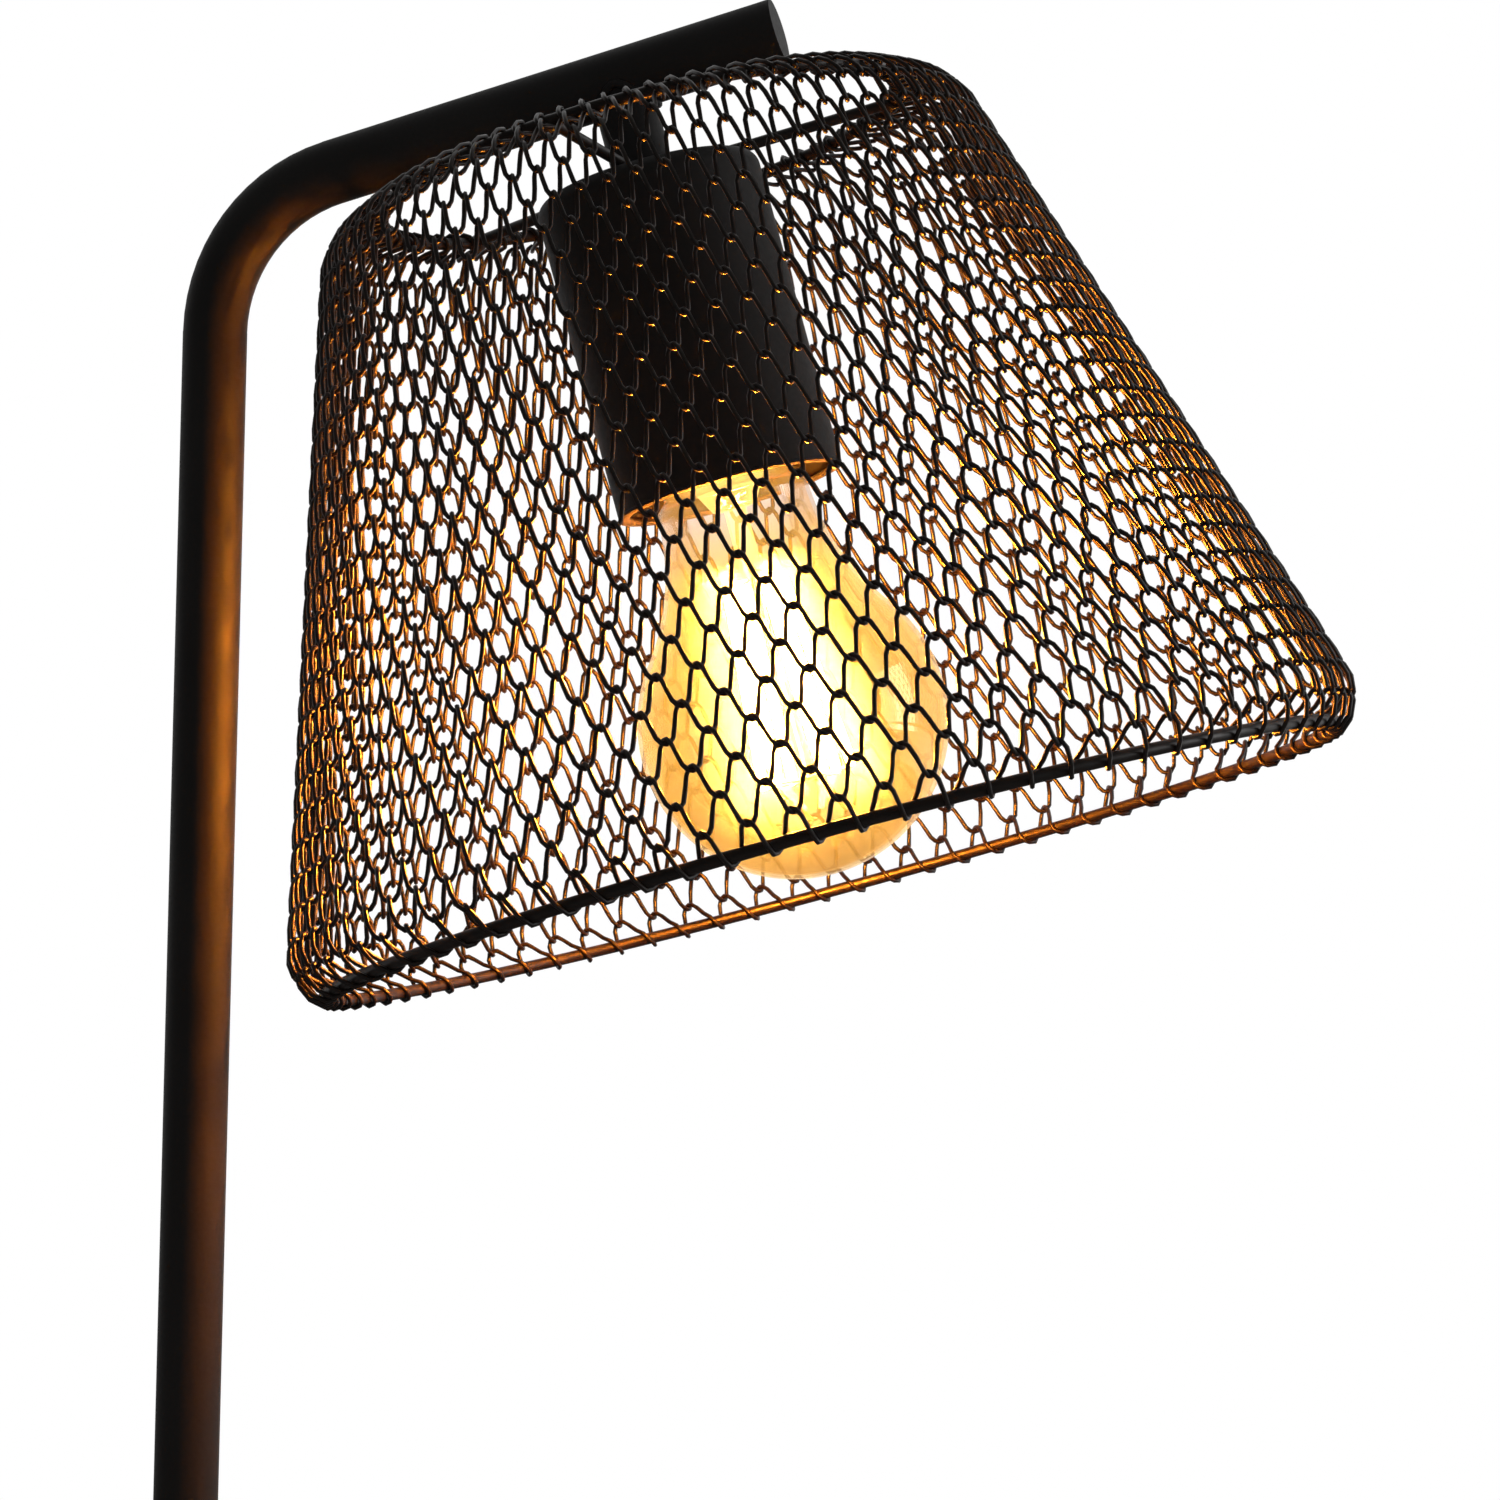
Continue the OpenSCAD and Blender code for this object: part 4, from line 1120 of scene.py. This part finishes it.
@dataclass
class Bulb(SubAssembly):
    """The lit bulb: glass, threaded cap and light sticks."""

    globe: float = 30.0
    globe_depth: float = 130.0
    neck: float = 15.0
    neck_depth: float = 85.0
    hollow: float = 45.0
    seat: float = 12.7
    # How far above the cap's end the straight seat stops, and below it the flare starts
    seat_lap: float = 1.0
    flare_gap: float = 0.2
    glass_top: float = 72.6
    glass: float = 0.8
    cap: float = 13.1
    cap_top: float = 59.6
    cap_end: float = 81.6
    # The cap's shoulder: the radius where it starts, the step out and down from there, how far in
    # and down its outer edge lies, and the depth below the top from which the cap is at its full radius
    cap_land: float = 11.4
    cap_step: Pair = (0.9, 0.5)
    cap_edge: Pair = (0.3, 1.5)
    cap_full: float = 2.0
    cap_sheet: float = 0.35
    pitch: float = 3.629
    thread_height: float = 0.9
    # How far below the cap's top, and above its end, the thread stops, and how long it fades for
    thread_inset: Pair = (1.2, 2.6)
    thread_fade: float = 1.5
    sticks: int = 6
    stick: float = 0.95
    stick_top: float = 101.0
    stick_length: float = 40.0
    # Distances of a stick's two ends from the axis
    stick_high: float = 5.5
    stick_low: float = 9.0

    def build(self) -> None:
        """Builds the glass, the cap and the sticks."""
        self.build_glass()
        self.build_cap()
        self.build_sticks()

    def outline(self, inset: float) -> np.ndarray:
        """Outline of the glass at one distance in from its outer face, from the seat to the tip.

        The seat is straight, and a smooth step widens it to the neck. The neck follows an arc that
        is hollow outward, and the globe an arc that goes on from it without a corner down to the
        axis.

        Args:
            inset: Distance in from the outer face.

        Returns:
            Radius and depth of each point.
        """
        seat = self.seat - inset
        lift = np.linspace(0, 1, 7)[:-1]
        flare_top = self.cap_end + self.flare_gap
        flare_radius = seat + eased(lift) * (self.neck - self.seat)
        flare_depth = flare_top + lift * (self.neck_depth - self.cap_end - self.flare_gap)
        join = math.atan2(self.globe_depth - self.neck_depth, self.neck + self.hollow)
        a = np.linspace(0, join, 20)
        hollow = self.hollow + inset
        blend_radius = self.neck + self.hollow - hollow * np.cos(a)
        blend_depth = self.neck_depth + hollow * np.sin(a)
        b = np.linspace(join, -math.pi / 2, 48)[1:]
        ball = self.globe - inset
        globe = np.stack([ball * np.cos(b), self.globe_depth - ball * np.sin(b)], axis=-1)
        globe[-1, 0] = 0.0
        return np.concatenate(
            [
                [[seat, self.glass_top], [seat, self.cap_end - self.seat_lap]],
                np.stack([flare_radius, flare_depth], axis=-1),
                np.stack([blend_radius, blend_depth], axis=-1),
                globe,
            ]
        )

    def build_glass(self) -> None:
        """Builds the glass: its outer outline and back along the inner one, turned round."""
        wall = np.concatenate([self.outline(0), self.outline(self.glass)[::-1]])
        flat, faces = lathe(wall, 128)
        self.make_piece("blown_glass", flat, faces, Body.BULB, Slot.AMBER_GLASS, ("bulb_glass",))

    def build_cap(self) -> None:
        """Builds the cap: a shoulder, a rolled thread and a plain skirt, as a thin closed sheet.

        The sheet's outer face has the profile's radius less the thread's height in its valleys,
        and its inner face lies one sheet further in.
        """
        shoulder = [
            [self.cap_land, self.cap_top],
            [self.cap_land + self.cap_step[0], self.cap_top + self.cap_step[1]],
            [self.cap - self.cap_edge[0], self.cap_top + self.cap_edge[1]],
        ]
        skirt = np.linspace(self.cap_top + self.cap_full, self.cap_end, 90)
        outer = np.concatenate([shoulder, np.stack([np.full_like(skirt, self.cap), skirt], axis=-1)])
        depth = outer[:, 1:2]
        turn = around(96)[None, :]
        start, end = self.cap_top + self.thread_inset[0], self.cap_end - self.thread_inset[1]
        rise = np.clip((depth - start) / self.thread_fade, 0, 1)
        fall = np.clip((end - depth) / self.thread_fade, 0, 1)
        wave = thread_wave(depth, turn, self.pitch, start - self.pitch, end + self.pitch)
        radius = outer[:, 0:1] - self.thread_height * (rise * fall) * (1 - wave)
        flat, faces = thin_sheet(radius, depth, turn, -self.cap_sheet)
        self.make_piece("threaded_cap", flat, faces, Body.BULB, Slot.NICKEL_CAP, ("bulb_cap",))

    def build_sticks(self) -> None:
        """Builds the light sticks as rods with round ends, leaning out toward their feet.

        Round each stick's own axis the radius is constant, and over the last radius at each end it
        follows a half circle down to nothing.
        """
        polar = np.linspace(0, math.pi / 2, 4)
        end_along, end_radius = self.stick * (1 - np.cos(polar)), self.stick * np.sin(polar)
        radius = np.concatenate([end_radius, np.full(4, self.stick), end_radius[::-1]])
        radius = radius[:, None, None]
        turn = around(12)[None, :, None]
        points, faces, count = [], [], 0
        for angle in around(self.sticks):
            spoke = np.array([math.cos(angle), math.sin(angle), 0.0])
            foot = self.stick_low * spoke - np.array([0, 0, self.stick_top + self.stick_length])
            run = self.stick_high * spoke - np.array([0, 0, self.stick_top]) - foot
            long = np.linalg.norm(run)
            axis = run / long
            side = np.cross(axis, spoke)
            side /= np.linalg.norm(side)
            up = np.cross(side, axis)
            straight = np.linspace(self.stick, long - self.stick, 6)[1:-1]
            along = np.concatenate([end_along, straight, long - end_along[::-1]])[:, None, None]
            skin = foot + along * axis + radius * (np.cos(turn) * up + np.sin(turn) * side)
            flat, part = closed_surface(skin, False)
            points.append(flat)
            faces += [[corner + count for corner in face] for face in part]
            count += len(flat)
        flat = np.concatenate(points)
        self.make_piece("light_sticks", flat, faces, Body.BULB, Slot.LIGHT_STICK, ("bulb_filaments",))


@dataclass
class PackedNodes:
    """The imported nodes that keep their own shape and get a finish."""

    finishes: Finishes
    slots: dict[Slot, tuple[str, ...]] = field(
        default_factory=lambda: {
            Slot.BLACK_STEEL: (
                "base_cover", "stem_tube", "arm_end_plug",
                "head_neck", "spider_hub", "holder_cup",
            ),
            Slot.GREY_IRON: ("base_weight",),
            Slot.ZINC_STEEL: (
                "base_plate", "base_screws", "foot_nipple", "foot_washer", "foot_nut",
                "neck_nipple", "cup_nut", "terminal_screws", "bulb_support_wires",
            ),
            Slot.SOFT_PAD: ("base_pad",),
            Slot.BLACK_PLASTIC: ("cord_inlet_bush", "terminal_block"),
            Slot.LEAD_SHEATH: ("inner_leads",),
            Slot.BRASS: ("foot_insert", "centre_contact"),
            Slot.DARK_PHENOLIC: ("holder_cap", "holder_skirt"),
            Slot.WHITE_CERAMIC: ("contact_base",),
            Slot.SOLDER: ("bulb_contact",),
            Slot.BLACK_GLASS: ("bulb_insulator",),
            Slot.CLEAR_GLASS: ("bulb_stem",),
            Slot.CIRCUIT_BOARD: ("bulb_driver",),
        }
    )
    lacquered: tuple[str, ...] = ("spider_arms", "top_ring", "bottom_ring")

    def dress(self, nodes: dict[str, bpy.types.Object]) -> None:
        """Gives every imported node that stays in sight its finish.

        Args:
            nodes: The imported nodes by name.
        """
        finishes = {name: self.finishes.wire for name in self.lacquered}
        for slot, names in self.slots.items():
            finishes.update({name: self.finishes.by_slot[slot] for name in names})
        for name, material in finishes.items():
            for place in nodes[name].material_slots:
                place.material = material
            LOG.info("%s: packed node in %s", name, material.name)


def stand(right: Triple, up: Triple, back: Triple, place: Triple) -> Matrix:
    """World matrix of an object that stands in the studio.

    Args:
        right: Its own x axis.
        up: Its own y axis.
        back: Its own z axis, away from where it looks.
        place: Where it stands, in metres.

    Returns:
        The matrix, with one of the four to a column.
    """
    return Matrix([*zip(right, up, back, place), (0, 0, 0, 1)])


@dataclass
class Studio:
    """Pale floor, a softbox at the side and a white surround."""

    floor_radius: float = 1.15
    floor_rings: int = 24
    floor_steps: int = 96
    floor_tones: tuple[str, str] = ("#efedea", "#f6f5f3")
    floor_grain_mm: float = 30.0
    # Shares of the floor's radius between which it fades into white
    fade: Pair = (0.3, 0.92)
    # Light of the floor in a mirrored ray
    floor_mirrored: float = 0.06
    # Where the softbox stands and what it faces, in metres, its side in metres and its watts
    softbox: Triple = (1.7, 0.25, 0.75)
    target: Triple = (0.06, 0.0, 0.33)
    softbox_size: float = 1.0
    softbox_power: float = 7.0
    # Level of the surround as light
    surround: float = 0.9
    # Level of the surround in a mirrored ray, between these parts of the way back
    mirrored_way: Pair = (-0.2, 0.95)
    mirrored_level: Pair = (0.015, 0.8)

    def build(self) -> None:
        """Builds the floor, the softbox and the surround."""
        self.build_floor()
        self.build_softbox()
        self.build_world()

    def build_softbox(self) -> None:
        """Builds the square softbox that faces the shade."""
        light = bpy.data.lights.new("side_softbox", "AREA")
        light.size = self.softbox_size
        light.energy = self.softbox_power
        lamp = bpy.data.objects.new("side_softbox", light)
        bpy.context.scene.collection.objects.link(lamp)
        back = np.array(self.softbox) - np.array(self.target)
        back /= np.linalg.norm(back)
        right = np.cross([0.0, 0.0, 1.0], back)
        right /= np.linalg.norm(right)
        lamp.matrix_world = stand(right, np.cross(back, right), back, self.softbox)

    def build_floor(self) -> None:
        """Builds a pale matt disc whose rim fades into the white surround.

        The disc is a grid in polar coordinates. Its rim shows as white light to the camera, so it
        has no edge in any view, and it keeps the lamp's shadow in the middle.
        """
        steps = self.floor_steps
        radius = np.linspace(0, self.floor_radius, self.floor_rings)[:, None]
        points = turned(radius, np.zeros_like(radius), around(steps)[None, :])
        # The first ring is a single point, so a fan of triangles takes its faces' place
        faces = grid_faces(self.floor_rings, steps, False)[steps:]
        fan = [[0, steps + j, steps + (j + 1) % steps] for j in range(steps)]
        mesh = bpy.data.meshes.new("studio_floor")
        mesh.from_pydata(points.reshape(-1, 3), [], faces.tolist() + fan)
        mesh.materials.append(self.floor_material())
        floor = bpy.data.objects.new("studio_floor", mesh)
        bpy.context.scene.collection.objects.link(floor)

    def floor_material(self) -> bpy.types.Material:
        """Builds the floor's paint: matt and pale, white at the rim, dim to mirrored rays.

        Returns:
            The new material.
        """
        skin = Skin("matt_pale_floor")
        grain = skin.add("ShaderNodeTexNoise", skin.sized(self.floor_grain_mm, Detail=4.0))
        dark, pale = (linear(tone) for tone in self.floor_tones)
        tone = skin.add("ShaderNodeMix", {0: grain.outputs["Fac"], 6: dark, 7: pale}, data_type="RGBA")
        skin.set(Base_Color=tone.outputs[2], Roughness=0.9, Specular_IOR_Level=0.2)
        spread = skin.add("ShaderNodeVectorMath", {0: skin.place}, operation="LENGTH")
        start, end = (share * self.floor_radius for share in self.fade)
        span = {"Value": spread.outputs["Value"], "From Min": start, "From Max": end}
        rim = skin.add("ShaderNodeMapRange", span, interpolation_type="SMOOTHSTEP")
        ray = skin.add("ShaderNodeLightPath")
        seen = {0: rim.outputs[0], 1: ray.outputs["Is Camera Ray"]}
        share = skin.add("ShaderNodeMath", seen, operation="MULTIPLY").outputs[0]
        white = skin.add("ShaderNodeEmission", {"Color": WHITE, "Strength": 1.0})
        dim = skin.add("ShaderNodeEmission", {"Color": WHITE, "Strength": self.floor_mirrored})
        shaders = {0: ray.outputs["Is Glossy Ray"], 1: skin.shader.outputs[0], 2: dim.outputs[0]}
        mirrored = skin.add("ShaderNodeMixShader", shaders)
        shaders = {0: share, 1: mirrored.outputs[0], 2: white.outputs[0]}
        skin.show(skin.add("ShaderNodeMixShader", shaders))
        return skin.material

    def build_world(self) -> None:
        """Builds the surround: white to the eye, dim to bright in a mirror, plain for light.

        Camera rays and rays through glass see white. Mirrored rays see a level that rises from dim
        in front of the lamp to white behind it, as in a studio with one white backdrop. Light that
        falls on the lamp comes from a plain grey all round.
        """
        world = bpy.data.worlds.new("white_surround")
        bpy.context.scene.world = world
        world.use_nodes = True
        tree = world.node_tree
        tree.nodes.clear()
        way = add(tree, "ShaderNodeTexCoord").outputs["Generated"]
        parts = add(tree, "ShaderNodeSeparateXYZ", {0: way})
        (start, end), (dim, bright) = self.mirrored_way, self.mirrored_level
        span = {"From Min": start, "From Max": end, "To Min": dim, "To Max": bright}
        way_back = {"Value": parts.outputs["Y"], **span}
        back = add(tree, "ShaderNodeMapRange", way_back, interpolation_type="SMOOTHSTEP")
        ray = add(tree, "ShaderNodeLightPath").outputs
        rays = {0: ray["Is Camera Ray"], 1: ray["Is Transmission Ray"]}
        seen = add(tree, "ShaderNodeMath", rays, operation="MAXIMUM")
        levels = {0: ray["Is Glossy Ray"], 2: self.surround, 3: back.outputs[0]}
        mirrored = add(tree, "ShaderNodeMix", levels, data_type="FLOAT")
        levels = {0: seen.outputs[0], 2: mirrored.outputs[0], 3: 1.0}
        level = add(tree, "ShaderNodeMix", levels, data_type="FLOAT")
        shade = add(tree, "ShaderNodeBackground", {"Color": WHITE, "Strength": level.outputs[0]})
        add(tree, "ShaderNodeOutputWorld", {"Surface": shade.outputs[0]})


@dataclass(frozen=True)
class PhotoCamera:
    """The camera where the photograph was taken from, a little below the shade."""

    place: Triple = (0.2947563, -0.8862532, 0.2994543)
    right: Triple = (0.978836, 0.203457, 0.022049)
    up: Triple = (-0.016047, -0.031102, 0.999387)
    back: Triple = (0.204018, -0.97859, -0.027179)
    focal_mm: float = 112.8
    sensor_mm: float = 36.0
    nearest: float = 0.01

    def build(self) -> None:
        """Builds the camera and makes it the scene's own."""
        lens = bpy.data.cameras.new("photo_camera")
        lens.lens = self.focal_mm
        lens.sensor_width = self.sensor_mm
        lens.clip_start = self.nearest
        camera = bpy.data.objects.new("photo_camera", lens)
        camera.matrix_world = stand(self.right, self.up, self.back, self.place)
        bpy.context.scene.collection.objects.link(camera)
        bpy.context.scene.camera = camera


def main() -> None:
    """Builds the lamp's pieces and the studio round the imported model."""
    logging.basicConfig(level=logging.INFO, format="%(name)s %(message)s")
    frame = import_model()
    bpy.context.scene.view_settings.view_transform = "Standard"
    PhotoCamera().build()
    Studio().build()
    head = HeadFrame()
    finishes = Finishes()
    PackedNodes(finishes).dress(frame["nodes"])
    MeshShade(head, finishes).build()
    Neck(head, finishes).build()
    Lampholder(head, finishes).build()
    Bulb(head, finishes).build()


if __name__ == "__main__":
    main()
